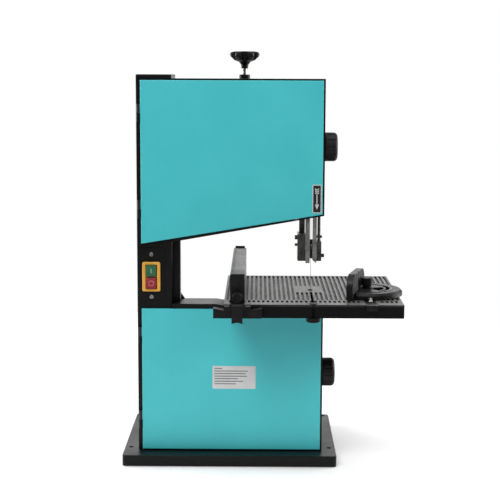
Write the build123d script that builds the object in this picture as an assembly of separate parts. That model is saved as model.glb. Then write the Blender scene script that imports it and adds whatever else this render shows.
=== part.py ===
from build123d import *

# Bench band saw, two wheels of 234 mm, as an assembly of separate solids.
#
# Frame: the origin is the centre of the four base bolt holes on the bench plane.
# +X is the operator's right, +Y points away from the operator and +Z is up.
# All lengths are millimetres.

import os
from math import atan2, cos, degrees, hypot, radians, sin

os.makedirs("parts", exist_ok=True)

# ---- fits ------------------------------------------------------------------
RUN = 0.05            # radial running fit of a shaft or pin in its hole
GAP = 0.4             # gap between pieces that pass each other
SKIN_GAP = 0.3        # gap between curved faces that only look as if they touch

# ---- base ------------------------------------------------------------------
BOLT_SPACING_X = 353.0
BOLT_SPACING_Y = 212.0
BOLT_HOLE_R = 4.25
BOLT_EDGE = 11.0      # from a bolt hole to the side and rear edges
BASE_FRONT_EDGE = 51.0
BASE_H = 20.4
BASE_SHEET = 2.0
BASE_CORNER_R = 7.0
SKIRT_LIFT = 1.5      # the skirt stops above the bench, the feet reach it
FOOT_R = 8.0

BASE_X = BOLT_SPACING_X / 2 + BOLT_EDGE
BASE_Y0 = -BOLT_SPACING_Y / 2 - BASE_FRONT_EDGE
BASE_Y1 = BOLT_SPACING_Y / 2 + BOLT_EDGE

# ---- column ----------------------------------------------------------------
COLUMN_X0 = -162.0
COLUMN_W = 61.0
COLUMN_Y0 = -118.0
COLUMN_D = 106.0
COLUMN_WALL = 2.0
COLUMN_TOP = 677.0
CAP_T = 3.0
COLUMN_X1 = COLUMN_X0 + COLUMN_W
COLUMN_Y1 = COLUMN_Y0 + COLUMN_D
GLAND_Z = 62.0
GLAND_X = (COLUMN_X0 + COLUMN_X1) / 2
GLAND_R = 9.0
GLAND_BORE_R = 4.0

# ---- wheel housings --------------------------------------------------------
SHEET = 1.5
HOUSING_X1 = 162.5
RIM_Y = -122.0        # front edge of both housings
HOUSING_DEPTH = 56.0
BACK_Y = RIM_Y + HOUSING_DEPTH
UPPER_TOP = 673.2
THROAT_Z = 392.2      # underside of the upper housing at the column
THROAT_SLOPE = 0.177  # rise of that underside towards the blade
LOWER_TOP = 283.5
LOWER_STEP = 11.5     # the lower housing is lower under the table
STEP_X0 = -25.0
STEP_X1 = 45.0
GUIDE_OPENING = (112.0, 160.6, -110.0, -67.5)
AXLE_SLOT = (14.0, 20.0)
PORT_X = -55.0
PORT_Z = 75.0
PORT_R = 20.0
PORT_BORE_R = 18.0
PORT_LEN = 36.0

# ---- doors -----------------------------------------------------------------
DOOR_PROUD = 2.0      # door face in front of the housing rim
DOOR_SHEET = 1.6
DOOR_FOLD = 5.5       # depth of the folded edges
DOOR_GAP = 0.8
DOOR_LEFT = 8.0       # black margins round the doors
DOOR_RIGHT = 3.2
DOOR_TOP = 3.0
DOOR_FOOT_LEFT = 6.4  # door above the throat line at each end
DOOR_FOOT_RIGHT = 2.8
LOWER_DOOR_TOP = 8.7
LOWER_DOOR_BOTTOM = 1.9
HINGE_R = 3.2
HINGE_PIN_R = 1.5
HINGE_LEN = 31.0
HINGE_INSET = 4.5     # hinge axis from the column's left side
UPPER_HINGES_Z = (449.5, 614.0)
LOWER_HINGES_Z = (76.0, 226.0)
DOOR_FACE_Y = RIM_Y - DOOR_PROUD
HINGE_X = COLUMN_X0 + HINGE_INSET
HINGE_Y = COLUMN_Y0 - HINGE_R - 0.2
DOOR_X0 = COLUMN_X0 + DOOR_LEFT
DOOR_X1 = HOUSING_X1 - DOOR_RIGHT

# ---- door locks ------------------------------------------------------------
LOCK_Y = -95.0
LOCK_R = 25.0
LOCK_LEN = 22.0
LOCK_SHAFT_R = 4.0
UPPER_LOCK_Z = 556.5
LOWER_LOCK_Z = 157.5
TONGUE_T = 3.0
TONGUE_LEN = 19.0
TONGUE_W = 8.0
TONGUE_X = 147.5
HOOK_X = TONGUE_X + TONGUE_T + 0.8

# ---- wheels and blade ------------------------------------------------------
WHEEL_R = 117.0       # over the rubber tyre
TYRE_T = 2.5
RIM_T = 6.0
WHEEL_W = 14.0
WEB_T = 5.0
HUB_R = 17.0
WHEEL_X = 23.5
BLADE_Y = -90.0
LOWER_WHEEL_Z = 152.5
WHEEL_CENTRES = 388.0
UPPER_WHEEL_Z = LOWER_WHEEL_Z + WHEEL_CENTRES
LIGHTENING_HOLES = 8
LIGHTENING_R = 13.0
LIGHTENING_PCR = 92.0
AXLE_R = 7.5
BEARING_R = 14.0
BEARING_W = 8.0
BLADE_T = 0.5
BLADE_W = 9.5
BLADE_LOOP_R = WHEEL_R + SKIN_GAP
BLADE_X = WHEEL_X + BLADE_LOOP_R + BLADE_T / 2
RETURN_X = WHEEL_X - BLADE_LOOP_R - BLADE_T / 2
GUARD_W = 13.0
GUARD_Y = (-100.0, -80.0)
HUB_LEN = 22.0
AXLE_FRONT_Y = BLADE_Y - HUB_LEN / 2 - 5
BEARING_CASE_LEN = 36.0

# ---- drive -----------------------------------------------------------------
MOTOR_X = 100.0
MOTOR_Z = 80.0
MOTOR_R = 52.0
MOTOR_LEN = 104.0
MOTOR_COVER_LEN = 28.0
MOTOR_SHAFT_R = 6.0
WHEEL_PULLEY_R = 75.0
MOTOR_PULLEY_R = 15.0
BELT_T = 2.5
BELT_W = 8.0
BELT_Y = -76.0        # middle of the belt's width
PULLEY_W = 10.0
MOTOR_PLATE_T = 4.0
MOTOR_PLATE = 112.0
MOTOR_BOLT_STEP = 92.0
MOTOR_Y0 = BACK_Y + MOTOR_PLATE_T

# ---- blade tension and tracking --------------------------------------------
SCREW_X = WHEEL_X
SCREW_Y = -50.0
SCREW_R = 4.0
COLLAR_R = 9.5
COLLAR_H = 7.0
KNOB_LOBE_R = 25.8
KNOB_TOP = 720.3
KNOB_RIM_Z = 709.5
KNOB_NECK_Z = 702.0
KNOB_FOOT_Z = 690.6
CARRIAGE_W = 60.0
CARRIAGE_T = 6.0
CARRIAGE_H = 90.0
RAIL_W = 12.0
TRACK_ARM = 26.0      # tracking screw below the tilt axis
CARRIAGE_Y0 = BACK_Y + GAP
CARRIAGE_Y1 = CARRIAGE_Y0 + CARRIAGE_T
NUT_Z = (UPPER_WHEEL_Z + 44.5, UPPER_WHEEL_Z + 60.0)
PIVOT_Y = -50.0
PIVOT_R = 3.0
TILT_BLOCK_W = 28.0
TILT_BLOCK_Y = (CARRIAGE_Y1 + 1.0, -42.0)
CHEEK_T = 5.0
YOKE_Y = -36.0
TRACK_SCREW_R = 3.0

# ---- upper blade guide -----------------------------------------------------
GUIDE_FOOT_Z = 357.5
GUIDE_POST = 10.0
GUIDE_POST_X = 125.8
GUIDE_POST_Y = -74.0
GUIDE_POST_TOP = 512.0
GUIDE_CLAMP_Z = (436.5, 463.0)  # above the raised guide and clear of the slack wheel
STRIP_T = 1.5
STRIP_Y = -106.0
STRIP_TOP = 485.0
LEFT_STRIP = (131.2, 138.7)
RIGHT_STRIP = (143.3, 150.1)
STRIP_FOOT_Z = 354.0
GUIDE_PIN_R = 3.25
GUIDE_PIN_Z = 365.5
THRUST_R = 4.5
THRUST_W = 4.0
JAW_GAP = 0.15        # jaw to blade, each side
LOWER_JAW_REACH = 15.0
GUIDE_LOCK_R = 3.0
GUIDE_BAR_Y = (-74.0, -69.0)
GUIDE_LEFT = (117.5, 130.9)
GUIDE_RIGHT = (150.6, 159.0)
GUIDE_BLOCK_TOP = (405.0, 391.6)
GUIDE_FRONT_Y = -104.0
THRUST_PIN_R = 1.5
THRUST_Y = BLADE_Y + BLADE_W / 2 + 0.5 + THRUST_R
THRUST_Z = 379.0
GUIDE_SCREW_X = (124.3, 154.8)
GUIDE_SCREW_Z = 373.0
GUIDE_SCREW_HEAD_R = 4.1
GUIDE_THUMB_SCREWS = ((398.0, 3.8), (385.0, 2.4))  # height and radius of the side screws
LOWER_GUIDE_Z = LOWER_TOP - LOWER_STEP
LOWER_GUIDE_H = 9.8

# ---- table -----------------------------------------------------------------
TABLE_W = 300.0
TABLE_D = 300.0
TABLE_TOP = 302.3
TABLE_T = 8.0
APRON_H = 22.9
SIDE_APRON_H = 16.0
APRON_T = 6.0
TABLE_X0 = -8.3
TABLE_Y0 = -225.6
GROOVE_PITCH = 8.0
GROOVE_W = 4.2
GROOVE_DEPTH = 2.2
GROOVE_FRONT = 44.0   # the long grooves start this far behind the front edge
GROOVE_REAR = 6.0
SHORT_GROOVE = (20.0, 38.0)
SLOT_W = 4.5
INSERT_SIZE = (42.0, 60.0)
INSERT_Y = -74.0
INSERT_T = 3.0
INSERT_GAP = 0.8      # gap round the insert
MITRE_SLOT_W = 19.3
MITRE_SLOT_DEPTH = 9.8
MITRE_X = 237.9
TILT_MAX = 30.0
TRUNNION_R = 56.0
TRUNNION_ARC_R = 41.0
TRUNNION_T = 8.0
TRUNNION_Y = -54.0
TILT_BOLT_R = 4.0
SLOT_BOLT_R = 3.5
SLOT_BOLT_HEAD_R = 7.0
SLOT_KNOB_R = 12.0
TABLE_X1 = TABLE_X0 + TABLE_W
TABLE_Y1 = TABLE_Y0 + TABLE_D
APRON_Z = TABLE_TOP - APRON_H
PLATE_Z = TABLE_TOP - TABLE_T
SLOT_BOLT_Y = TABLE_Y0 + 7.4
SLOT_HEAD_Z = 297.0
INSERT_Y0 = INSERT_Y - INSERT_SIZE[1] / 2
INSERT_Y1 = INSERT_Y + INSERT_SIZE[1] / 2
BRACKET_Y0 = TRUNNION_Y + TRUNNION_T / 2 + GAP
BRACKET_T = 6.0
TILT_BOLT_Z = TABLE_TOP - TRUNNION_ARC_R

# ---- fence -----------------------------------------------------------------
FENCE_X0 = 2.5
FENCE_W = 24.0
FENCE_H = 51.7
FENCE_HEAD_W = 80.4
FENCE_HEAD_Z = (281.7, 301.4)
FENCE_HEAD_T = 16.0
LEVER_W = 18.0
LEVER_FOOT_Z = 275.0
BOSS_Z = 316.7
BOSS_R = 8.3
FENCE_X1 = FENCE_X0 + FENCE_W
FENCE_MID = (FENCE_X0 + FENCE_X1) / 2
FENCE_Z0 = TABLE_TOP + GAP
FENCE_TOP = TABLE_TOP + FENCE_H
FENCE_Y1 = TABLE_Y1 + 9.6
HEAD_Y1 = TABLE_Y0 - GAP
HEAD_Y0 = HEAD_Y1 - FENCE_HEAD_T
NOSE_T = 6.0
LEVER_AXIS_Y = HEAD_Y0 - 7.0
LEVER_AXIS_Z = 302.2
LEVER_BARREL_R = 5.6
LEVER_PIN_R = 2.0

# ---- mitre gauge -----------------------------------------------------------
MITRE_BAR_Y = (-232.0, -40.0)
MITRE_BAR_H = 9.4
MITRE_PIVOT_Y = -125.0
MITRE_DISC_R = 61.0
MITRE_DISC_Z = (303.6, 313.5)
MITRE_TURN = 74.7     # the head's angle from square
MITRE_PLATE = (-32.0, 75.5)
MITRE_PLATE_T = 11.0
MITRE_RIB_GAPS = (-20.0, 24.0, 62.0)  # upright grooves in the back of the face plate
MITRE_GROOVE = 2.5
MITRE_PLATE_TOP = 346.0
MITRE_OFFSET = 16.0
MITRE_KNOB_R = 9.9

# ---- labels ----------------------------------------------------------------
ARROW_LABEL = (141.5, 157.3, 444.0, 493.0)
RATING_LABEL = (-30.7, 45.2, 132.5, 173.4)

# ---- switch ----------------------------------------------------------------
SWITCH_X = -137.0
SWITCH_PLATE = (46.0, 91.5)
SWITCH_PLATE_Z = 335.2
SWITCH_PLATE_T = 1.5
BEZEL = (31.4, 51.6)
BEZEL_Z = 331.2
BEZEL_T = 5.0
BUTTON = (17.6, 18.8)
BUTTON_STEP = 21.8
BUTTON_PROUD = 3.0
BUTTON_GAP = 1.2      # dark gap round each button
SWITCH_SCREW_Z = (295.5, 370.0)
SWITCH_HEAD_R = 3.6
SWITCH_HEAD_T = 2.2
CROSS_LEN = 4.6
CROSS_W = 1.2


# ---- shape helpers ---------------------------------------------------------
def block(x0, x1, y0, y1, z0, z1):
    """Box between two values on each axis."""
    return Pos((x0 + x1) / 2, (y0 + y1) / 2, (z0 + z1) / 2) * Box(x1 - x0, y1 - y0, z1 - z0)


def rod(x, y, z, radius, length, axis="Z"):
    """Cylinder that starts at a point and runs along +X, +Y or +Z."""
    turns = {"X": Rot(0, 90, 0), "Y": Rot(-90, 0, 0), "Z": Rot(0, 0, 0)}
    upright = Cylinder(radius, length, align=(Align.CENTER, Align.CENTER, Align.MIN))
    return Pos(x, y, z) * turns[axis] * upright


def ring(x, y, z, outer, inner, length, axis="Z"):
    """Tube that starts at a point and runs along an axis."""
    return rod(x, y, z, outer, length, axis) - rod(x, y, z, inner, length, axis)


def polygon(*points):
    """Flat face through the given corners."""
    return make_face(Polyline(*points, close=True))


def front_prism(sketch, y_front, y_back):
    """Solid whose outline is drawn in X and Z, between two values of Y."""
    plane = Plane(origin=(0, y_back, 0), x_dir=(1, 0, 0), z_dir=(0, -1, 0))
    return extrude(plane * sketch, y_back - y_front)


def side_prism(sketch, x_low, x_high):
    """Solid whose outline is drawn in Y and Z, between two values of X."""
    plane = Plane(origin=(x_low, 0, 0), x_dir=(0, 1, 0), z_dir=(1, 0, 0))
    return extrude(plane * sketch, x_high - x_low)


def top_prism(sketch, z_low, z_high):
    """Solid whose outline is drawn in X and Y, between two values of Z."""
    return extrude(Pos(0, 0, z_low) * sketch, z_high - z_low)


def turned(points, x, y):
    """Solid of revolution about a vertical axis, from radius and height pairs."""
    profile = Plane.XZ * make_face(Polyline(*points, close=True))
    return Pos(x, y, 0) * revolve(profile, Axis.Z)


def save(name, *pieces):
    """Write the pieces of one node to its STEP file."""
    solids = [solid for piece in pieces for solid in piece.solids()]
    shape = solids[0] if len(solids) == 1 else Compound(children=solids)
    shape.label = name
    export_step(shape, f"parts/{name}.step")


# ---- outlines shared by housings and doors ---------------------------------
def throat_z(x):
    """Height of the upper housing's sloping underside."""
    return THROAT_Z + THROAT_SLOPE * (x - COLUMN_X1)


def stepped_outline(x0, x1, foot, top):
    """Outline of the lower housing or door, lower at the table's side."""
    step = (STEP_X1, top - LOWER_STEP)
    return polygon((x0, foot), (x1, foot), (x1, step[1]), step, (STEP_X0, top), (x0, top))


upper_outline = polygon(
    (COLUMN_X1, throat_z(COLUMN_X1)),
    (HOUSING_X1, throat_z(HOUSING_X1)),
    (HOUSING_X1, UPPER_TOP),
    (COLUMN_X1, UPPER_TOP),
)
lower_outline = stepped_outline(COLUMN_X1, HOUSING_X1, BASE_H, LOWER_TOP)

upper_door_outline = polygon(
    (DOOR_X0, throat_z(DOOR_X0) + DOOR_FOOT_LEFT),
    (DOOR_X1, throat_z(DOOR_X1) + DOOR_FOOT_RIGHT),
    (DOOR_X1, UPPER_TOP - DOOR_TOP),
    (DOOR_X0, UPPER_TOP - DOOR_TOP),
)
lower_door_outline = stepped_outline(
    DOOR_X0, DOOR_X1, BASE_H + LOWER_DOOR_BOTTOM, LOWER_TOP - LOWER_DOOR_TOP
)


# ---- frame -----------------------------------------------------------------
def base_plate():
    """Sheet tray with a skirt, open underneath, with four bolt holes."""
    outline = Pos(0, (BASE_Y0 + BASE_Y1) / 2) * RectangleRounded(
        2 * BASE_X, BASE_Y1 - BASE_Y0, BASE_CORNER_R
    )
    tray = top_prism(outline, SKIRT_LIFT, BASE_H)
    tray = fillet(tray.faces().sort_by(Axis.Z)[-1].edges(), BASE_SHEET * 0.9)
    tray -= top_prism(offset(outline, -BASE_SHEET), 0, BASE_H - BASE_SHEET)
    return tray - [rod(x, y, 0, BOLT_HOLE_R, BASE_H + 1) for x, y in bolt_places()]


def bolt_places():
    """Centres of the four base bolt holes."""
    halves = (BOLT_SPACING_X / 2, BOLT_SPACING_Y / 2)
    return [(sx * halves[0], sy * halves[1]) for sx in (-1, 1) for sy in (-1, 1)]


def rubber_feet():
    """Rubber sleeves round the bolt holes, from the bench up into the tray."""
    height = BASE_H - BASE_SHEET
    return [ring(x, y, 0, FOOT_R, BOLT_HOLE_R, height) for x, y in bolt_places()]


def switch_window():
    """Opening for the switch body, through its plate and the column's front."""
    width = BEZEL[0] - 4
    height = BEZEL[1] - 4
    return (
        SWITCH_X - width / 2, SWITCH_X + width / 2,
        BEZEL_Z - height / 2, BEZEL_Z + height / 2,
    )


def switch_screw_holes():
    """Shanks of the two screws that hold the switch plate."""
    y = COLUMN_Y0 - SWITCH_PLATE_T
    return [rod(SWITCH_X, y, z, 2.0, SWITCH_PLATE_T + COLUMN_WALL + 2, "Y") for z in SWITCH_SCREW_Z]


def column():
    """Rectangular tube that carries both wheel housings."""
    tube = block(COLUMN_X0, COLUMN_X1, COLUMN_Y0, COLUMN_Y1, BASE_H, COLUMN_TOP)
    tube = fillet(tube.edges().filter_by(Axis.Z), COLUMN_WALL)
    tube -= block(
        COLUMN_X0 + COLUMN_WALL, COLUMN_X1 - COLUMN_WALL,
        COLUMN_Y0 + COLUMN_WALL, COLUMN_Y1 - COLUMN_WALL, BASE_H, COLUMN_TOP,
    )
    x0, x1, z0, z1 = switch_window()
    tube -= block(x0, x1, COLUMN_Y0, COLUMN_Y0 + COLUMN_WALL, z0, z1)
    tube -= switch_screw_holes()
    return tube - rod(GLAND_X, COLUMN_Y1 - COLUMN_WALL, GLAND_Z, GLAND_BORE_R, COLUMN_WALL, "Y")


def column_cap():
    """Plate that closes the column, with a rim that drops inside it."""
    cap = block(COLUMN_X0, COLUMN_X1, COLUMN_Y0, COLUMN_Y1, COLUMN_TOP, COLUMN_TOP + CAP_T)
    cap = fillet(cap.edges().filter_by(Axis.Z), COLUMN_WALL)
    cap = fillet(cap.faces().sort_by(Axis.Z)[-1].edges(), CAP_T / 2)
    inset = COLUMN_WALL
    rim = block(
        COLUMN_X0 + inset, COLUMN_X1 - inset, COLUMN_Y0 + inset, COLUMN_Y1 - inset,
        COLUMN_TOP - CAP_T, COLUMN_TOP,
    )
    return cap + rim


def column_gusset():
    """Triangular brace between the column and the back of the lower housing."""
    reach = 32.0
    height = 45.0
    foot = LOWER_TOP - 18.5
    shape = polygon((COLUMN_X1, foot), (COLUMN_X1 + reach, foot), (COLUMN_X1, foot + height))
    return front_prism(shape, BACK_Y, BACK_Y + 3)


def return_slot(z0, z1):
    """Slot that the blade's return run passes through."""
    return block(RETURN_X - 3.5, RETURN_X + 3.5, BLADE_Y - 7, BLADE_Y + 7, z0, z1)


def blade_return_guard():
    """Channel beside the column that covers the blade's return run."""
    x1 = COLUMN_X1 + GUARD_W
    outer = polygon((COLUMN_X1, LOWER_TOP), (x1, LOWER_TOP), (x1, throat_z(x1)), (COLUMN_X1, THROAT_Z))
    channel = front_prism(outer, GUARD_Y[0], GUARD_Y[1])
    hollow = block(COLUMN_X1, x1 - SHEET, GUARD_Y[0] + SHEET, GUARD_Y[1] - SHEET, LOWER_TOP, 400)
    return channel - hollow


def housing_shell(outline, door_outline):
    """Sheet box with a closed back and a front lip round the door."""
    shell = front_prism(outline, RIM_Y, BACK_Y)
    inner = offset(outline, -SHEET, kind=Kind.INTERSECTION)
    shell -= front_prism(inner, RIM_Y + SHEET, BACK_Y - SHEET)
    opening = offset(door_outline, DOOR_GAP, kind=Kind.INTERSECTION)
    return shell - front_prism(opening, RIM_Y, COLUMN_Y0)


def upper_housing():
    """Upper wheel box, with openings for the guide, the blade and the axle."""
    shell = housing_shell(upper_outline, upper_door_outline)
    x0, x1, y0, y1 = GUIDE_OPENING
    shell -= block(x0, x1, y0, y1, THROAT_Z, throat_z(HOUSING_X1) + SHEET)
    shell -= return_slot(THROAT_Z - 1, THROAT_Z + 8)
    half_w, half_h = AXLE_SLOT
    slot = SlotOverall(2 * half_h + 2 * half_w, 2 * half_w, rotation=90)
    shell -= front_prism(Pos(WHEEL_X, UPPER_WHEEL_Z) * slot, BACK_Y - SHEET, BACK_Y)
    clamp_z = sum(GUIDE_CLAMP_Z) / 2
    shell -= rod(GUIDE_POST_X, BACK_Y - SHEET, clamp_z, GUIDE_LOCK_R + RUN, SHEET, "Y")
    wall = HOUSING_X1 - SHEET
    return shell - rod(wall, LOCK_Y, UPPER_LOCK_Z, LOCK_SHAFT_R + RUN, SHEET, "X")


def lower_housing():
    """Lower wheel box, with openings for the blade, drive and sawdust."""
    shell = housing_shell(lower_outline, lower_door_outline)
    blade_top = LOWER_TOP - LOWER_STEP
    shell -= block(BLADE_X - 4, BLADE_X + 4, BLADE_Y - 7, BLADE_Y + 7, blade_top - 2, blade_top)
    shell -= return_slot(LOWER_TOP - 2, LOWER_TOP)
    back = BACK_Y - SHEET
    shell -= rod(WHEEL_X, back, LOWER_WHEEL_Z, AXLE_R + 2, SHEET, "Y")
    shell -= rod(MOTOR_X, back, MOTOR_Z, MOTOR_SHAFT_R + 3, SHEET, "Y")
    shell -= rod(PORT_X, back, PORT_Z, PORT_BORE_R, SHEET, "Y")
    wall = HOUSING_X1 - SHEET
    return shell - rod(wall, LOCK_Y, LOWER_LOCK_Z, LOCK_SHAFT_R + RUN, SHEET, "X")


def dust_port():
    """Round spigot for a dust hose, with a flange against the housing."""
    port = rod(PORT_X, BACK_Y, PORT_Z, PORT_R, PORT_LEN, "Y")
    port += rod(PORT_X, BACK_Y, PORT_Z, PORT_R + 6, 3, "Y")
    return port - rod(PORT_X, BACK_Y, PORT_Z, PORT_BORE_R, PORT_LEN, "Y")


def cord_gland():
    """Hexagonal gland with a round nose, where the supply cord enters."""
    body = front_prism(Pos(GLAND_X, GLAND_Z) * RegularPolygon(GLAND_R, 6), COLUMN_Y1, COLUMN_Y1 + 6)
    body += rod(GLAND_X, COLUMN_Y1, GLAND_Z, GLAND_R - 2, 14, "Y")
    return body - rod(GLAND_X, COLUMN_Y1, GLAND_Z, GLAND_BORE_R, 14, "Y")


# ---- doors -----------------------------------------------------------------
def door(outline, hinge_heights):
    """Sheet pan with folded edges and the upper half of each hinge barrel."""
    back = DOOR_FACE_Y + DOOR_SHEET
    pan = front_prism(outline, DOOR_FACE_Y, DOOR_FACE_Y + DOOR_FOLD)
    pan = fillet(pan.faces().sort_by(Axis.Y)[0].edges(), DOOR_SHEET * 0.75)
    inner = offset(outline, -DOOR_SHEET, kind=Kind.INTERSECTION)
    pan -= front_prism(inner, back, DOOR_FACE_Y + DOOR_FOLD)
    half = HINGE_LEN / 2
    for z in hinge_heights:
        pan += rod(HINGE_X, HINGE_Y, z + 0.2, HINGE_R, half - 0.2)
        pan += block(HINGE_X, DOOR_X0 + 1, DOOR_FACE_Y + 0.4, back, z + 0.2, z + half)
        pan -= rod(HINGE_X, HINGE_Y, z, HINGE_PIN_R + RUN, half)
    return pan


def hinge_brackets():
    """Lower halves of the hinge barrels, each on a web from the column."""
    half = HINGE_LEN / 2
    brackets = []
    for z in UPPER_HINGES_Z + LOWER_HINGES_Z:
        barrel = rod(HINGE_X, HINGE_Y, z - half, HINGE_R, half)
        barrel += block(HINGE_X - 1.5, HINGE_X + 1.5, HINGE_Y, COLUMN_Y0, z - half, z)
        brackets.append(barrel - rod(HINGE_X, HINGE_Y, z - half, HINGE_PIN_R, half))
    return brackets


def hinge_pins():
    """Four steel pins, fixed in the brackets."""
    half = HINGE_LEN / 2
    heights = UPPER_HINGES_Z + LOWER_HINGES_Z
    return [rod(HINGE_X, HINGE_Y, z - half, HINGE_PIN_R, HINGE_LEN) for z in heights]


def lock_knob(z):
    """Round hand knob with a domed face and grip flutes."""
    x0 = HOUSING_X1 + 0.5
    knob = rod(x0, LOCK_Y, z, LOCK_R, LOCK_LEN, "X")
    knob = fillet(knob.edges().sort_by(Axis.X)[-1], 7)
    knob = fillet(knob.edges().sort_by(Axis.X)[0], 1)
    for turn in range(0, 360, 30):
        y = LOCK_Y + (LOCK_R + 1.6) * cos(radians(turn))
        flute_z = z + (LOCK_R + 1.6) * sin(radians(turn))
        knob -= rod(x0 + 4, y, flute_z, 3, LOCK_LEN, "X")
    return knob - rod(x0, LOCK_Y, z, LOCK_SHAFT_R, 10, "X")


def lock_tongue(z):
    """Shaft of a door lock, with the tongue that turns behind the door's hook."""
    shaft = rod(TONGUE_X, LOCK_Y, z, LOCK_SHAFT_R, HOUSING_X1 + 10.5 - TONGUE_X, "X")
    half = TONGUE_W / 2
    return shaft + block(TONGUE_X, TONGUE_X + TONGUE_T, LOCK_Y - TONGUE_LEN, LOCK_Y, z - half, z + half)


def door_hook(z):
    """Hook on the inside of a door that the lock's tongue holds."""
    low = z - TONGUE_LEN - 5
    high = z - LOCK_SHAFT_R - 6
    front = DOOR_FACE_Y + DOOR_SHEET
    lip_y = LOCK_Y + TONGUE_W / 2 + 0.6
    stem = block(HOOK_X, HOOK_X + 2.5, front, lip_y + 3, low, high)
    lip = block(TONGUE_X - 1, HOOK_X + 2.5, lip_y, lip_y + 3, low, high)
    foot = block(HOOK_X - 8, HOOK_X + 5, front, front + 2, low, high)
    return stem + lip + foot


# ---- switch ----------------------------------------------------------------
def button_places():
    """Heights of the start and stop button centres."""
    return (BEZEL_Z + BUTTON_STEP / 2, BEZEL_Z - BUTTON_STEP / 2)


def switch_plate():
    """Sheet plate on the column's front that carries the switch."""
    half_w = SWITCH_PLATE[0] / 2
    half_h = SWITCH_PLATE[1] / 2
    front = COLUMN_Y0 - SWITCH_PLATE_T
    outline = Pos(SWITCH_X, SWITCH_PLATE_Z) * RectangleRounded(2 * half_w, 2 * half_h, 3)
    plate = front_prism(outline, front, COLUMN_Y0)
    x0, x1, z0, z1 = switch_window()
    return plate - block(x0, x1, front, COLUMN_Y0, z0, z1) - switch_screw_holes()


def switch_screws():
    """Two pan head screws with cross recesses."""
    front = COLUMN_Y0 - SWITCH_PLATE_T
    top = front - SWITCH_HEAD_T
    screws = []
    for z, shank in zip(SWITCH_SCREW_Z, switch_screw_holes()):
        head = rod(SWITCH_X, top, z, SWITCH_HEAD_R, SWITCH_HEAD_T, "Y")
        head = chamfer(head.edges().sort_by(Axis.Y)[0], 0.8)
        cross = Rectangle(CROSS_LEN, CROSS_W) + Rectangle(CROSS_W, CROSS_LEN)
        recess = front_prism(Pos(SWITCH_X, z) * Rot(0, 0, 20) * cross, top, top + 1.3)
        screws.append(head + shank - recess)
    return screws


def switch_body():
    """Contact box behind the bezel, open towards the buttons."""
    x0, x1, z0, z1 = switch_window()
    front = COLUMN_Y0 - SWITCH_PLATE_T
    body = block(x0, x1, front, front + 40, z0, z1)
    return body - block(x0 + 2, x1 - 2, front, front + 11.5, z0 + 2, z1 - 2)


def switch_bezel():
    """Frame with a window for each button."""
    front = COLUMN_Y0 - SWITCH_PLATE_T - BEZEL_T
    outline = Pos(SWITCH_X, BEZEL_Z) * RectangleRounded(BEZEL[0], BEZEL[1], 3)
    bezel = front_prism(outline, front, front + BEZEL_T)
    bezel = fillet(bezel.faces().sort_by(Axis.Y)[0].edges(), 1.5)
    width = BUTTON[0] / 2 + BUTTON_GAP
    height = BUTTON[1] / 2 + BUTTON_GAP
    for z in button_places():
        opening = block(SWITCH_X - width, SWITCH_X + width, front, front + BEZEL_T, z - height, z + height)
        bezel -= opening
    return bezel


def push_button(z):
    """Square button that slides into the switch body."""
    front = COLUMN_Y0 - SWITCH_PLATE_T - BEZEL_T - BUTTON_PROUD
    outline = Pos(SWITCH_X, z) * RectangleRounded(BUTTON[0], BUTTON[1], 1.5)
    button = front_prism(outline, front, front + BUTTON_PROUD + BEZEL_T + 8)
    return fillet(button.faces().sort_by(Axis.Y)[0].edges(), 1.0)


# ---- wheels, blade and drive -----------------------------------------------
def wheel(z, bore):
    """Cast wheel: rim, web with lightening holes, and hub with its bore."""
    front = BLADE_Y - WHEEL_W / 2
    rim_r = WHEEL_R - TYRE_T
    body = ring(WHEEL_X, front, z, rim_r, rim_r - RIM_T, WHEEL_W, "Y")
    body += rod(WHEEL_X, BLADE_Y - WEB_T / 2, z, rim_r - RIM_T / 2, WEB_T, "Y")
    body += rod(WHEEL_X, BLADE_Y - HUB_LEN / 2, z, HUB_R, HUB_LEN, "Y")
    for hole in range(LIGHTENING_HOLES):
        turn = radians(360 * hole / LIGHTENING_HOLES)
        x = WHEEL_X + LIGHTENING_PCR * cos(turn)
        hole_z = z + LIGHTENING_PCR * sin(turn)
        body -= rod(x, BLADE_Y - WEB_T / 2, hole_z, LIGHTENING_R, WEB_T, "Y")
    return body - rod(WHEEL_X, BLADE_Y - HUB_LEN / 2, z, bore, HUB_LEN, "Y")


def tyre(z):
    """Rubber band round a wheel."""
    front = BLADE_Y - WHEEL_W / 2
    return ring(WHEEL_X, front, z, WHEEL_R, WHEEL_R - TYRE_T, WHEEL_W, "Y")


def bearings(z, first_y, second_y):
    """Two ball bearings, each kept as one ring."""
    places = (first_y, second_y)
    return [ring(WHEEL_X, y, z, BEARING_R, AXLE_R + RUN, BEARING_W, "Y") for y in places]


def lower_wheel():
    """Driven wheel with the drum of its belt pulley behind the web."""
    drum_y = BLADE_Y + WEB_T / 2
    drum_end = BELT_Y + PULLEY_W / 2
    drum = ring(
        WHEEL_X, drum_y, LOWER_WHEEL_Z, WHEEL_PULLEY_R, WHEEL_PULLEY_R - 5, drum_end - drum_y, "Y"
    )
    return wheel(LOWER_WHEEL_Z, AXLE_R) + drum


def blade():
    """Welded steel band round both wheels."""
    def stadium(radius):
        return SlotCenterToCenter(WHEEL_CENTRES, 2 * radius, rotation=90)

    centre = Pos(WHEEL_X, (UPPER_WHEEL_Z + LOWER_WHEEL_Z) / 2)
    loop = centre * (stadium(BLADE_LOOP_R + BLADE_T) - stadium(BLADE_LOOP_R))
    return front_prism(loop, BLADE_Y - BLADE_W / 2, BLADE_Y + BLADE_W / 2)


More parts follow.
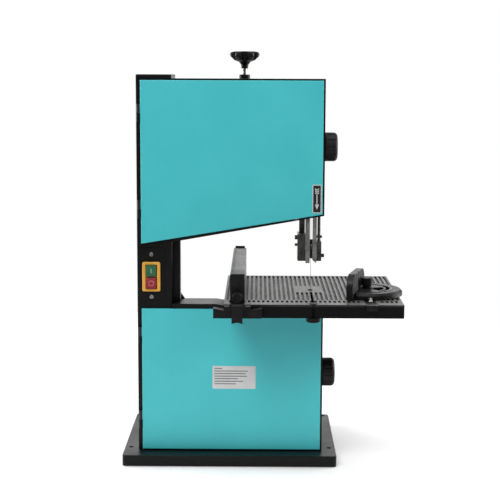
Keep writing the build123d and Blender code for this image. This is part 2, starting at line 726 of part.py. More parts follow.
def pulley_loop(wheel_r, motor_r):
    """Face inside a belt line round the wheel pulley and the motor pulley."""
    dx = MOTOR_X - WHEEL_X
    dz = MOTOR_Z - LOWER_WHEEL_Z
    lean = degrees(atan2(dz, dx))
    reach = hypot(dx, dz)
    along = (wheel_r - motor_r) / reach
    across = (1 - along**2) ** 0.5
    middle = polygon(
        (wheel_r * along, wheel_r * across),
        (reach + motor_r * along, motor_r * across),
        (reach + motor_r * along, -motor_r * across),
        (wheel_r * along, -wheel_r * across),
    )
    loop = middle + Circle(wheel_r) + Pos(reach, 0) * Circle(motor_r)
    return Pos(WHEEL_X, LOWER_WHEEL_Z) * Rot(0, 0, lean) * loop


def drive_belt():
    """Ribbed belt from the motor pulley to the lower wheel's drum."""
    outer = pulley_loop(WHEEL_PULLEY_R + SKIN_GAP + BELT_T, MOTOR_PULLEY_R + SKIN_GAP + BELT_T)
    inner = pulley_loop(WHEEL_PULLEY_R + SKIN_GAP, MOTOR_PULLEY_R + SKIN_GAP)
    return front_prism(outer - inner, BELT_Y - BELT_W / 2, BELT_Y + BELT_W / 2)


def motor_bolt_places():
    """Centres of the four motor bolts, in X and Z."""
    half = MOTOR_BOLT_STEP / 2
    return [(MOTOR_X + sx * half, MOTOR_Z + sz * half) for sx in (-1, 1) for sz in (-1, 1)]


def motor_plate():
    """Square plate between the motor and the housing's back."""
    outline = Pos(MOTOR_X, MOTOR_Z) * RectangleRounded(MOTOR_PLATE, MOTOR_PLATE, 8)
    plate = front_prism(outline, BACK_Y, MOTOR_Y0)
    plate -= rod(MOTOR_X, BACK_Y, MOTOR_Z, MOTOR_SHAFT_R + 3, MOTOR_PLATE_T, "Y")
    return plate - [rod(x, BACK_Y, z, 3, MOTOR_PLATE_T, "Y") for x, z in motor_bolt_places()]


def motor_bolts():
    """Hexagon screws through the motor plate."""
    bolts = []
    for x, z in motor_bolt_places():
        head = front_prism(Pos(x, z) * RegularPolygon(5.5, 6), MOTOR_Y0, MOTOR_Y0 + 4)
        bolts.append(head + rod(x, BACK_Y, z, 3, MOTOR_PLATE_T, "Y"))
    return bolts


def motor_body():
    """Finned motor casing with a bore for its shaft."""
    body = rod(MOTOR_X, MOTOR_Y0, MOTOR_Z, MOTOR_R, MOTOR_LEN, "Y")
    fin_length = MOTOR_LEN - 24
    for turn in range(0, 360, 15):
        x = MOTOR_X + MOTOR_R * cos(radians(turn))
        z = MOTOR_Z + MOTOR_R * sin(radians(turn))
        body -= Pos(x, MOTOR_Y0 + 12 + fin_length / 2, z) * Rot(0, -turn, 0) * Box(7, fin_length, 5)
    return body - rod(MOTOR_X, MOTOR_Y0, MOTOR_Z, MOTOR_SHAFT_R + RUN, 30, "Y")


def fan_cover():
    """Slotted cap over the motor's fan."""
    y0 = MOTOR_Y0 + MOTOR_LEN
    cover = rod(MOTOR_X, y0, MOTOR_Z, MOTOR_R, MOTOR_COVER_LEN, "Y")
    cover = fillet(cover.edges().sort_by(Axis.Y)[-1], 6)
    cover -= rod(MOTOR_X, y0, MOTOR_Z, MOTOR_R - 2, MOTOR_COVER_LEN - 2, "Y")
    for step in range(-3, 4):
        z = MOTOR_Z + 10 * step
        rear = y0 + MOTOR_COVER_LEN
        cover -= block(MOTOR_X - 26, MOTOR_X + 26, rear - 2, rear, z, z + 4)
    return cover


def motor_fan():
    """Six-bladed fan on the motor's rear shaft end, under the cover."""
    y0 = MOTOR_Y0 + MOTOR_LEN + 6
    fan = rod(MOTOR_X, y0, MOTOR_Z, 12, 10, "Y")
    for turn in range(0, 360, 60):
        fan += Pos(MOTOR_X, y0 + 5, MOTOR_Z) * Rot(0, turn, 0) * Pos(26, 0, 0) * Box(36, 8, 3)
    return fan + rod(MOTOR_X, y0 - 6, MOTOR_Z, 5, 6, "Y")


def capacitor_box():
    """Box on the motor with its capacitor and terminals."""
    x0, y0 = MOTOR_X - 26, MOTOR_Y0 + 25
    box = block(x0, x0 + 52, y0, y0 + 62, MOTOR_Z + 30, MOTOR_Z + MOTOR_R + 26)
    box -= rod(MOTOR_X, y0, MOTOR_Z, MOTOR_R + 0.01, 62, "Y")
    return fillet(box.faces().sort_by(Axis.Z)[-1].edges(), 3)


def motor_shaft():
    """Shaft from the motor into the lower housing."""
    y0 = BELT_Y - PULLEY_W / 2 - 1
    return rod(MOTOR_X, y0, MOTOR_Z, MOTOR_SHAFT_R, MOTOR_Y0 + 28 - y0, "Y")


def motor_pulley():
    """Small pulley with a flange at each side of the belt."""
    y0 = BELT_Y - PULLEY_W / 2
    return ring(MOTOR_X, y0, MOTOR_Z, MOTOR_PULLEY_R, MOTOR_SHAFT_R, PULLEY_W, "Y")


def bearing_case():
    """Bored casting behind the housing that carries the lower axle."""
    case = rod(WHEEL_X, BACK_Y, LOWER_WHEEL_Z, BEARING_R + 8, BEARING_CASE_LEN, "Y")
    case += rod(WHEEL_X, BACK_Y, LOWER_WHEEL_Z, BEARING_R + 12, 5, "Y")
    return case - rod(WHEEL_X, BACK_Y, LOWER_WHEEL_Z, BEARING_R, BEARING_CASE_LEN, "Y")


def lower_axle():
    """Axle fixed in the driven wheel."""
    length = BACK_Y + BEARING_CASE_LEN + 4 - AXLE_FRONT_Y
    return rod(WHEEL_X, AXLE_FRONT_Y, LOWER_WHEEL_Z, AXLE_R, length, "Y")


# ---- blade tension and tracking --------------------------------------------


def tension_bracket():
    """Angle on the back of the upper housing that the tension screw hangs from."""
    half = 22.0
    top = block(SCREW_X - half, SCREW_X + half, BACK_Y, SCREW_Y + 14, UPPER_TOP - 6, UPPER_TOP)
    leg = block(SCREW_X - half, SCREW_X + half, BACK_Y, BACK_Y + 4, UPPER_TOP - 30, UPPER_TOP)
    return top + leg - rod(SCREW_X, SCREW_Y, UPPER_TOP - 6, SCREW_R + RUN, 6)


def tension_collar():
    """Flanged bush that the knob bears on."""
    collar = rod(SCREW_X, SCREW_Y, UPPER_TOP, COLLAR_R, COLLAR_H)
    collar = chamfer(collar.edges().sort_by(Axis.Z)[-1], 1.0)
    return collar - rod(SCREW_X, SCREW_Y, UPPER_TOP, SCREW_R + RUN, COLLAR_H)


def tension_spindle():
    """Steel screw from the knob down into the nut on the carriage."""
    foot = NUT_Z[0] - 12
    return rod(SCREW_X, SCREW_Y, foot, SCREW_R, KNOB_NECK_Z - foot)


def tension_knob():
    """Six-lobed hand knob on a tapering neck."""
    neck = [(0, KNOB_FOOT_Z), (5.8, KNOB_FOOT_Z), (6.4, 697)]
    neck += [(10.0, KNOB_NECK_Z), (12.0, KNOB_RIM_Z), (0, KNOB_RIM_Z)]
    lobe_r = 7.6
    star = Circle(KNOB_LOBE_R - 8.5)
    for lobe in range(6):
        turn = radians(60 * lobe)
        reach = KNOB_LOBE_R - lobe_r
        star += Pos(reach * cos(turn), reach * sin(turn)) * Circle(lobe_r)
    lens = [(0, KNOB_NECK_Z), (10.0, KNOB_NECK_Z), (18.0, 705.0), (KNOB_LOBE_R - 1.5, 711.0)]
    lens += [(KNOB_LOBE_R, 713.5), (KNOB_LOBE_R, 716.5), (KNOB_LOBE_R - 2.0, 719.0)]
    lens += [(KNOB_LOBE_R - 9.0, KNOB_TOP), (0, KNOB_TOP)]
    head = top_prism(Pos(SCREW_X, SCREW_Y) * star, KNOB_NECK_Z, KNOB_TOP)
    head &= turned(lens, SCREW_X, SCREW_Y)
    bore = rod(SCREW_X, SCREW_Y, KNOB_FOOT_Z, SCREW_R, KNOB_NECK_Z - KNOB_FOOT_Z)
    return turned(neck, SCREW_X, SCREW_Y) + head - bore


def carriage_rails():
    """Two guides behind the housing that hold the carriage by its edges."""
    rails = []
    inner = CARRIAGE_W / 2 + GAP
    z0, z1 = UPPER_WHEEL_Z - 75, UPPER_WHEEL_Z + 75
    for side in (-1, 1):
        near, far = sorted((SCREW_X + side * inner, SCREW_X + side * (inner + RAIL_W)))
        rail = block(near, far, BACK_Y, CARRIAGE_Y1 + 4, z0, z1)
        near, far = sorted((SCREW_X + side * (inner - 6), SCREW_X + side * (inner + RAIL_W)))
        rails.append(rail + block(near, far, CARRIAGE_Y1 + GAP, CARRIAGE_Y1 + 4, z0, z1))
    return rails


def wheel_carriage():
    """Sliding plate with the cheeks and yoke that hold the tilting axle block."""
    half = CARRIAGE_W / 2
    low = UPPER_WHEEL_Z - CARRIAGE_H / 2
    body = block(SCREW_X - half, SCREW_X + half, CARRIAGE_Y0, CARRIAGE_Y1, low, NUT_Z[1])
    cheek_z = (UPPER_WHEEL_Z - 34, UPPER_WHEEL_Z + 14)
    inner = TILT_BLOCK_W / 2 + GAP
    for side in (-1, 1):
        x0, x1 = sorted((SCREW_X + side * inner, SCREW_X + side * (inner + CHEEK_T)))
        body += block(x0, x1, CARRIAGE_Y1, YOKE_Y, *cheek_z)
    outer = inner + CHEEK_T
    yoke_z = (UPPER_WHEEL_Z - TRACK_ARM - 8, UPPER_WHEEL_Z - TRACK_ARM + 8)
    body += block(SCREW_X - outer, SCREW_X + outer, YOKE_Y, YOKE_Y + 6, *yoke_z)
    body += block(SCREW_X - 13, SCREW_X + 13, CARRIAGE_Y1, SCREW_Y + 11, *NUT_Z)
    body -= rod(SCREW_X, SCREW_Y, NUT_Z[0], SCREW_R + RUN, NUT_Z[1] - NUT_Z[0])
    body -= rod(SCREW_X, CARRIAGE_Y0, UPPER_WHEEL_Z, AXLE_R + 4, CARRIAGE_T, "Y")
    body -= rod(SCREW_X - outer, PIVOT_Y, UPPER_WHEEL_Z, PIVOT_R, 2 * outer, "X")
    track_z = UPPER_WHEEL_Z - TRACK_ARM
    return body - rod(SCREW_X, YOKE_Y, track_z, TRACK_SCREW_R + RUN, 6, "Y")


def tension_spring():
    """Coil spring that bears on the carriage's nut block."""
    pitch, coil_r, wire_r = 5.0, 8.0, 1.2
    height = 30.0
    path = Helix(pitch, height, coil_r)
    wire = sweep(Plane(origin=path @ 0, z_dir=path % 0) * Circle(wire_r), path, is_frenet=True)
    return Pos(SCREW_X, SCREW_Y, NUT_Z[1] + wire_r + 0.1) * wire


def pivot_pin():
    """Pin that the axle block tilts on."""
    outer = TILT_BLOCK_W / 2 + GAP + CHEEK_T
    return rod(SCREW_X - outer, PIVOT_Y, UPPER_WHEEL_Z, PIVOT_R, 2 * outer, "X")


def axle_block():
    """Tilting block that holds the upper axle and meets the tracking screw."""
    half = TILT_BLOCK_W / 2
    z0, z1 = UPPER_WHEEL_Z - TRACK_ARM - 5, UPPER_WHEEL_Z + 14
    body = block(SCREW_X - half, SCREW_X + half, *TILT_BLOCK_Y, z0, z1)
    body -= rod(SCREW_X - half, PIVOT_Y, UPPER_WHEEL_Z, PIVOT_R + RUN, 2 * half, "X")
    return body - rod(SCREW_X, TILT_BLOCK_Y[0], UPPER_WHEEL_Z, AXLE_R, 4.5, "Y")


def upper_axle():
    """Fixed axle that the idler wheel turns on."""
    length = TILT_BLOCK_Y[0] + 4.5 - AXLE_FRONT_Y
    return rod(WHEEL_X, AXLE_FRONT_Y, UPPER_WHEEL_Z, AXLE_R, length, "Y")


def axle_nut(z):
    """Hexagonal nut on the front end of an axle."""
    y0 = AXLE_FRONT_Y - 3
    nut = front_prism(Pos(WHEEL_X, z) * RegularPolygon(11, 6), y0, AXLE_FRONT_Y + 4)
    return nut - rod(WHEEL_X, AXLE_FRONT_Y, z, AXLE_R, 4, "Y")


def tracking_screw():
    """Screw through the yoke that sets the axle block's tilt."""
    z = UPPER_WHEEL_Z - TRACK_ARM
    start = TILT_BLOCK_Y[1] + 0.8
    return rod(SCREW_X, start, z, TRACK_SCREW_R, 34, "Y")


def tracking_knob():
    """Fluted hand knob on the tracking screw."""
    z = UPPER_WHEEL_Z - TRACK_ARM
    y0 = YOKE_Y + 12
    knob = rod(SCREW_X, y0, z, 15, 16, "Y")
    knob = fillet(knob.edges().sort_by(Axis.Y)[-1], 2)
    for turn in range(0, 360, 30):
        x = SCREW_X + 16 * cos(radians(turn))
        knob -= rod(x, y0, z + 16 * sin(radians(turn)), 2, 16, "Y")
    depth = TILT_BLOCK_Y[1] + 0.8 + 34 - y0
    return knob - rod(SCREW_X, y0, z, TRACK_SCREW_R, depth, "Y")


# ---- blade guides ----------------------------------------------------------


def guide_post():
    """Square bar that the upper guide hangs on."""
    half = GUIDE_POST / 2
    return block(
        GUIDE_POST_X - half, GUIDE_POST_X + half, GUIDE_POST_Y - half, GUIDE_POST_Y + half,
        GUIDE_BLOCK_TOP[0], GUIDE_POST_TOP,
    )


def guide_clamp():
    """Block inside the upper housing that the guide post slides in."""
    half = GUIDE_POST / 2 + RUN
    z0, z1 = GUIDE_CLAMP_Z
    back = BACK_Y - SHEET
    body = block(GUIDE_POST_X - 10, GUIDE_POST_X + 10, GUIDE_POST_Y - 10, back, z0, z1)
    body -= block(
        GUIDE_POST_X - half, GUIDE_POST_X + half, GUIDE_POST_Y - half, GUIDE_POST_Y + half, z0, z1
    )
    reach = back - GUIDE_POST_Y - half
    return body - rod(GUIDE_POST_X, back - reach, (z0 + z1) / 2, GUIDE_LOCK_R + RUN, reach, "Y")


def guide_lock_screw():
    """Screw that clamps the guide post."""
    y0 = GUIDE_POST_Y + GUIDE_POST / 2 + 0.1
    return rod(GUIDE_POST_X, y0, sum(GUIDE_CLAMP_Z) / 2, GUIDE_LOCK_R, 28, "Y")


def guide_lock_knob():
    """Fluted hand knob behind the upper housing."""
    z = sum(GUIDE_CLAMP_Z) / 2
    y0 = BACK_Y + 6
    knob = rod(GUIDE_POST_X, y0, z, 16, 20, "Y")
    knob = fillet(knob.edges().sort_by(Axis.Y)[-1], 3)
    for turn in range(0, 360, 45):
        x = GUIDE_POST_X + 17 * cos(radians(turn))
        knob -= rod(x, y0, z + 17 * sin(radians(turn)), 3, 20, "Y")
    depth = GUIDE_POST_Y + GUIDE_POST / 2 + 0.1 + 28 - y0
    return knob - rod(GUIDE_POST_X, y0, z, GUIDE_LOCK_R, depth, "Y")


def guide_carrier():
    """Yoke of the upper guide: a block each side of the blade and a bar behind it."""
    left = block(*GUIDE_LEFT, GUIDE_FRONT_Y, GUIDE_BAR_Y[1], GUIDE_FOOT_Z, GUIDE_BLOCK_TOP[0])
    right = block(*GUIDE_RIGHT, GUIDE_FRONT_Y, GUIDE_BAR_Y[1], GUIDE_FOOT_Z, GUIDE_BLOCK_TOP[1])
    bar = block(GUIDE_LEFT[0], GUIDE_RIGHT[1], *GUIDE_BAR_Y, GUIDE_FOOT_Z, GUIDE_BLOCK_TOP[1])
    body = left + right + bar
    body -= rod(GUIDE_LEFT[0], BLADE_Y, GUIDE_PIN_Z, GUIDE_PIN_R, 60, "X")
    body -= rod(GUIDE_LEFT[0], THRUST_Y, THRUST_Z, THRUST_PIN_R, 60, "X")
    body -= rod(BLADE_X - 3, THRUST_Y, THRUST_Z, THRUST_R + 0.6, 6, "X")
    for x in GUIDE_SCREW_X:
        body -= rod(x, GUIDE_FRONT_Y, GUIDE_SCREW_Z, 2.0, 8, "Y")
    return body


def guide_pins(z, reach):
    """Two round steel jaws, one at each side of the blade."""
    gap = BLADE_T / 2 + JAW_GAP
    left = rod(BLADE_X - gap - reach, BLADE_Y, z, GUIDE_PIN_R, reach, "X")
    return [left, rod(BLADE_X + gap, BLADE_Y, z, GUIDE_PIN_R, reach, "X")]


def guide_screws():
    """Hexagon socket screws in the front of the guide blocks."""
    screws = []
    for x in GUIDE_SCREW_X:
        head = rod(x, GUIDE_FRONT_Y - 4, GUIDE_SCREW_Z, GUIDE_SCREW_HEAD_R, 4, "Y")
        head += rod(x, GUIDE_FRONT_Y, GUIDE_SCREW_Z, 2.0, 8, "Y")
        hexagon = Pos(x, GUIDE_SCREW_Z) * RegularPolygon(2.3, 6)
        socket = front_prism(hexagon, GUIDE_FRONT_Y - 4, GUIDE_FRONT_Y - 1.5)
        screws.append(head - socket)
    for z, radius in GUIDE_THUMB_SCREWS:
        screws.append(rod(GUIDE_LEFT[0] - 4.8, BLADE_Y - 4, z, radius, 4.8, "X"))
    return screws


def thrust_bearing(z):
    """Small bearing behind the blade."""
    return ring(BLADE_X - THRUST_W / 2, THRUST_Y, z, THRUST_R, THRUST_PIN_R + RUN, THRUST_W, "X")


def thrust_pin(x0, x1, z):
    """Pin through a thrust bearing."""
    return rod(x0, THRUST_Y, z, THRUST_PIN_R, x1 - x0, "X")


def guard_strip(x0, x1, flange_x, cut):
    """Angle strip in front of the blade, with a flange against its block."""
    rise = 5.6 if cut else 0.0
    face = polygon((x0, STRIP_FOOT_Z + rise), (x1, STRIP_FOOT_Z), (x1, STRIP_TOP), (x0, STRIP_TOP))
    strip = front_prism(face, STRIP_Y, STRIP_Y + STRIP_T)
    f0, f1 = sorted((flange_x, x0 if flange_x < x0 + 1 else x1))
    low = GUIDE_FOOT_Z
    web = block(min(f0, f1), max(f0, f1), STRIP_Y, GUIDE_FRONT_Y + 6, low, STRIP_TOP)
    return strip + web


def guide_rod():
    """Bright rod beside the strips, held in a small eye."""
    return rod(154.8, GUIDE_FRONT_Y + 8, GUIDE_BLOCK_TOP[1], 2.75, STRIP_TOP - GUIDE_BLOCK_TOP[1])


def guide_eye():
    """Eye that ties the bright rod to the strips."""
    eye = block(GUIDE_RIGHT[0], 160.0, GUIDE_FRONT_Y + 2, GUIDE_FRONT_Y + 14, 398, 402)
    return eye - rod(154.8, GUIDE_FRONT_Y + 8, 398, 2.75, 4)


def lower_guide_block():
    """Two jaws and a bar on the lower housing, under the table insert."""
    z0, z1 = LOWER_GUIDE_Z, LOWER_GUIDE_Z + LOWER_GUIDE_H
    x0, x1 = BLADE_X - LOWER_JAW_REACH, BLADE_X + LOWER_JAW_REACH
    y0, y1 = BLADE_Y - 8, GUIDE_BAR_Y[1]
    body = block(x0, BLADE_X - 5, y0, y1, z0, z1) + block(BLADE_X + 5, x1, y0, y1, z0, z1)
    body += block(x0, x1, y1 - 5, y1, z0, z1)
    z = LOWER_GUIDE_Z + LOWER_GUIDE_H / 2
    body -= rod(x0, BLADE_Y, z, GUIDE_PIN_R, x1 - x0, "X")
    body -= rod(BLADE_X - 3, THRUST_Y, z, THRUST_R + 0.6, 6, "X")
    return body - rod(x0, THRUST_Y, z, THRUST_PIN_R, x1 - x0, "X")


# ---- table and tilt --------------------------------------------------------


def groove_places(shift):
    """X of every groove between the table's sides, clear of the mitre slot."""
    count = int(TABLE_W // GROOVE_PITCH)
    margin = (TABLE_W - (count - 1) * GROOVE_PITCH) / 2
    places = [TABLE_X0 + margin + shift + GROOVE_PITCH * step for step in range(count)]
    keep_off = MITRE_SLOT_W / 2 + GROOVE_W / 2 + 1
    edge = TABLE_X1 - GROOVE_W
    return [x for x in places if abs(x - MITRE_X) > keep_off and x < edge]


def insert_hole(z0, z1, inset):
    """Opening of the table insert, or the ledge opening under it."""
    half = INSERT_SIZE[0] / 2 - inset
    return block(BLADE_X - half, BLADE_X + half, INSERT_Y0 + inset, INSERT_Y1 - inset, z0, z1)


def table():
    """Cast table: grooved plate, apron, ribs, mitre slot, blade slot and insert pocket."""
    body = block(TABLE_X0, TABLE_X1, TABLE_Y0, TABLE_Y1, PLATE_Z, TABLE_TOP)
    body += block(TABLE_X0, TABLE_X1, TABLE_Y0, TABLE_Y0 + APRON_T, APRON_Z, PLATE_Z)
    body += block(TABLE_X0, TABLE_X1, TABLE_Y1 - APRON_T, TABLE_Y1, APRON_Z, PLATE_Z)
    body += block(TABLE_X1 - APRON_T, TABLE_X1, TABLE_Y0, TABLE_Y1, APRON_Z, PLATE_Z)
    side_z = TABLE_TOP - SIDE_APRON_H
    body += block(TABLE_X0, TABLE_X0 + APRON_T, TABLE_Y0, TABLE_Y1, side_z, PLATE_Z)
    rib = MITRE_SLOT_W / 2 + 4
    rib_z = TABLE_TOP - MITRE_SLOT_DEPTH - 4
    body += block(MITRE_X - rib, MITRE_X + rib, TABLE_Y0, TABLE_Y1, rib_z, PLATE_Z)
    body += block(BLADE_X - 13, BLADE_X + 13, TABLE_Y0, TABLE_Y0 + 16, APRON_Z, PLATE_Z)
    half = MITRE_SLOT_W / 2
    slot_z = TABLE_TOP - MITRE_SLOT_DEPTH
    cuts = [block(MITRE_X - half, MITRE_X + half, TABLE_Y0, TABLE_Y1, slot_z, TABLE_TOP)]
    cuts.append(insert_hole(TABLE_TOP - INSERT_T, TABLE_TOP, 0))
    cuts.append(insert_hole(PLATE_Z, TABLE_TOP, 3))
    slot = SLOT_W / 2
    cuts.append(block(BLADE_X - slot, BLADE_X + slot, TABLE_Y0, INSERT_Y0 + 4, APRON_Z, TABLE_TOP))
    cuts.append(rod(BLADE_X, SLOT_BOLT_Y, APRON_Z, SLOT_BOLT_R + RUN, APRON_H))
    cuts.append(rod(BLADE_X, SLOT_BOLT_Y, SLOT_HEAD_Z, SLOT_BOLT_HEAD_R + GAP / 2, 10))
    wide = GROOVE_W / 2
    floor_z = TABLE_TOP - GROOVE_DEPTH
    rear = TABLE_Y1 - GROOVE_REAR
    for x in groove_places(0):
        if abs(x - BLADE_X) < INSERT_SIZE[0] / 2 + wide + 1:
            cuts.append(block(x - wide, x + wide, INSERT_Y1 + 4, rear, floor_z, TABLE_TOP))
            front = TABLE_Y0 + GROOVE_FRONT
            cuts.append(block(x - wide, x + wide, front, INSERT_Y0 - 4, floor_z, TABLE_TOP))
        else:
            cuts.append(block(x - wide, x + wide, TABLE_Y0 + GROOVE_FRONT, rear, floor_z, TABLE_TOP))
    y0, y1 = TABLE_Y0 + SHORT_GROOVE[0], TABLE_Y0 + SHORT_GROOVE[1]
    for x in groove_places(GROOVE_PITCH / 2):
        cuts.append(block(x - wide, x + wide, y0, y1, floor_z, TABLE_TOP))
    return body - cuts


def table_insert():
    """Loose plate round the blade, flush with the table."""
    half = INSERT_SIZE[0] / 2 - 0.2
    y0, y1 = INSERT_Y0 + INSERT_GAP, INSERT_Y1 - INSERT_GAP
    plate = block(BLADE_X - half, BLADE_X + half, y0, y1, TABLE_TOP - INSERT_T, TABLE_TOP)
    foot = TABLE_TOP - INSERT_T
    plate -= block(BLADE_X - 1.5, BLADE_X + 1.5, INSERT_Y0, BLADE_Y, foot, TABLE_TOP)
    return plate - block(BLADE_X - 4, BLADE_X + 4, BLADE_Y - 8, BLADE_Y + 16, foot, TABLE_TOP)


def slot_bolt():
    """Bolt that keeps the table's two halves level at the front of the blade slot."""
    bolt = rod(BLADE_X, SLOT_BOLT_Y, APRON_Z - 4, SLOT_BOLT_R, SLOT_HEAD_Z - APRON_Z + 4)
    head = rod(BLADE_X, SLOT_BOLT_Y, SLOT_HEAD_Z, SLOT_BOLT_HEAD_R, 6.5)
    return bolt + fillet(head.edges().sort_by(Axis.Z)[-1], 1.2)


def slot_knob():
    """Knurled nut under the table's front edge."""
    knob = rod(BLADE_X, SLOT_BOLT_Y, APRON_Z - 7.4, SLOT_KNOB_R, 7.2)
    knob = chamfer(knob.edges().sort_by(Axis.Z)[0], 1.5)
    for turn in range(0, 360, 20):
        x = BLADE_X + SLOT_KNOB_R * cos(radians(turn))
        knob -= rod(x, SLOT_BOLT_Y + SLOT_KNOB_R * sin(radians(turn)), APRON_Z - 7.4, 0.8, 7.2)
    return knob - rod(BLADE_X, SLOT_BOLT_Y, APRON_Z - 4, SLOT_BOLT_R, 4)


def table_trunnion():
    """Half disc under the table with an arc slot about the tilt axis."""
    disc = Circle(TRUNNION_R) & Pos(0, -TRUNNION_R / 2 - TABLE_T) * Rectangle(2 * TRUNNION_R, TRUNNION_R)
    half_w = TILT_BOLT_R + 0.5
    sweep_to = -90 + TILT_MAX
    arc = CenterArc((0, 0), TRUNNION_ARC_R, -92, TILT_MAX + 4)
    groove = Circle(TRUNNION_ARC_R + half_w) - Circle(TRUNNION_ARC_R - half_w)
    reach = 2 * TRUNNION_R
    low, high = radians(-92), radians(sweep_to + 2)
    low_corner = (reach * cos(low), reach * sin(low))
    high_corner = (reach * cos(high), reach * sin(high))
    groove &= polygon((0, 0), low_corner, high_corner)
    for point in (arc @ 0, arc @ 1):
        groove += Pos(point.X, point.Y) * Circle(half_w)
    plate = Pos(BLADE_X, TABLE_TOP) * (disc - groove)
    return front_prism(plate, TRUNNION_Y - TRUNNION_T / 2, TRUNNION_Y + TRUNNION_T / 2)


def trunnion_bracket():
    """Bracket behind the lower housing that the trunnion is clamped to."""
    x0, x1 = BLADE_X - 25, HOUSING_X1 - 2
    foot_top = TABLE_TOP - TRUNNION_R - 1
    body = block(x0, x1, BRACKET_Y0, BRACKET_Y0 + BRACKET_T, foot_top - 26, TILT_BOLT_Z + 16)
    body += block(x0, x1, BACK_Y, BRACKET_Y0, foot_top - 26, foot_top)
    body -= [rod(x, BACK_Y, foot_top - 13, 3, 40, "Y") for x in (x0 + 10, x1 - 10)]
    return body - rod(BLADE_X, BRACKET_Y0, TILT_BOLT_Z, TILT_BOLT_R + RUN, BRACKET_T, "Y")


def trunnion_bolts():
    """Hexagon screws that fix the trunnion bracket to the housing."""
    x0, x1 = BLADE_X - 25, HOUSING_X1 - 2
    z = TABLE_TOP - TRUNNION_R - 14
    y1 = BRACKET_Y0 + BRACKET_T
    bolts = []
    for x in (x0 + 10, x1 - 10):
        head = front_prism(Pos(x, z) * RegularPolygon(5.5, 6), y1, y1 + 4)
        bolts.append(head + rod(x, BACK_Y, z, 3, y1 - BACK_Y, "Y"))
    return bolts


def tilt_bolt():
    """Bolt through the trunnion's slot."""
    front = TRUNNION_Y - TRUNNION_T / 2 - 0.2
    head = rod(BLADE_X, front - 3.5, TILT_BOLT_Z, 8, 3.5, "Y")
    return head + rod(BLADE_X, front, TILT_BOLT_Z, TILT_BOLT_R, 34, "Y")


def tilt_knob():
    """Hand knob that locks the table's tilt."""
    y0 = BRACKET_Y0 + BRACKET_T + 0.3
    knob = rod(BLADE_X, y0, TILT_BOLT_Z, 10, 8, "Y") + rod(BLADE_X, y0 + 8, TILT_BOLT_Z, 21, 16, "Y")
    knob = fillet(knob.edges().sort_by(Axis.Y)[-1], 3)
    for turn in range(0, 360, 60):
        x = BLADE_X + 23 * cos(radians(turn))
        knob -= rod(x, y0 + 8, TILT_BOLT_Z + 23 * sin(radians(turn)), 6, 16, "Y")
    depth = TRUNNION_Y - TRUNNION_T / 2 - 0.2 + 34 - y0
    return knob - rod(BLADE_X, y0, TILT_BOLT_Z, TILT_BOLT_R, depth, "Y")


# ---- fence -----------------------------------------------------------------


def fence_rail():
    """Hollow aluminium rail."""
    wall = 2.0
    rail = block(FENCE_X0, FENCE_X1, HEAD_Y1, FENCE_Y1, FENCE_Z0, FENCE_TOP)
    rail = fillet(rail.edges().filter_by(Axis.Y), 1.0)
    return rail - block(
        FENCE_X0 + wall, FENCE_X1 - wall, HEAD_Y1, FENCE_Y1, FENCE_Z0 + wall, FENCE_TOP - wall
    )


def fence_head():
    """Front T-piece of the fence, with the ears of its clamp lever."""
    x0 = FENCE_MID - FENCE_HEAD_W / 2 + 0.5
    x1 = x0 + FENCE_HEAD_W
    low, high = FENCE_HEAD_Z
    bar = polygon(
        (x0, low), (x1, low), (x1, high - 3), (x1 - 19, high - 6.5), (x1 - 19, high),
        (x0 + 18, high), (x0 + 18, high - 6.5), (x0, high - 3),
    )
    body = front_prism(bar, HEAD_Y0, HEAD_Y1)
    body += block(FENCE_X0, FENCE_X1, HEAD_Y1 - NOSE_T, HEAD_Y1, high - 1, FENCE_TOP)
    body += rod(FENCE_MID, HEAD_Y0 - 6, BOSS_Z, BOSS_R, HEAD_Y1 - HEAD_Y0, "Y")
    body -= rod(FENCE_MID, HEAD_Y0 - 6, BOSS_Z, BOSS_R - 3, 3, "Y")
    for side in (-1, 1):
        inner = FENCE_MID + side * (LEVER_W / 2 + GAP)
        outer = FENCE_MID + side * (LEVER_W / 2 + 4)
        near, far = sorted((inner, outer))
        body += block(near, far, LEVER_AXIS_Y - 4, HEAD_Y0, LEVER_AXIS_Z - 5, LEVER_AXIS_Z + 5)
        body -= rod(near, LEVER_AXIS_Y, LEVER_AXIS_Z, LEVER_PIN_R, far - near, "X")
    return body


def fence_lever():
    """Clamp lever: a cam barrel and a flat strap with a hollowed end."""
    x0 = FENCE_MID - LEVER_W / 2
    body = rod(x0, LEVER_AXIS_Y, LEVER_AXIS_Z, LEVER_BARREL_R, LEVER_W, "X")
    body += block(
        x0, x0 + LEVER_W, LEVER_AXIS_Y - LEVER_BARREL_R, LEVER_AXIS_Y - 0.6, LEVER_FOOT_Z, LEVER_AXIS_Z
    )
    body -= rod(FENCE_MID, LEVER_AXIS_Y - 10, LEVER_FOOT_Z - 14, 16, 20, "Y")
    return body - rod(x0, LEVER_AXIS_Y, LEVER_AXIS_Z, LEVER_PIN_R + RUN, LEVER_W, "X")


def fence_lever_pin():
    """Pin of the clamp lever, fixed in the ears."""
    reach = LEVER_W / 2 + 4
    return rod(FENCE_MID - reach, LEVER_AXIS_Y, LEVER_AXIS_Z, LEVER_PIN_R, 2 * reach, "X")


def fence_rear_hook():
    """Rear cap of the rail with a hook over the table's back edge."""
    half = 9.0
    foot = TABLE_TOP - 14
    cap = block(FENCE_MID - half, FENCE_MID + half, FENCE_Y1, FENCE_Y1 + 3, foot, FENCE_TOP + 3.4)
    cap += block(FENCE_MID - half, FENCE_MID + half, TABLE_Y1 + 0.8, FENCE_Y1, foot, FENCE_Z0)
    return cap


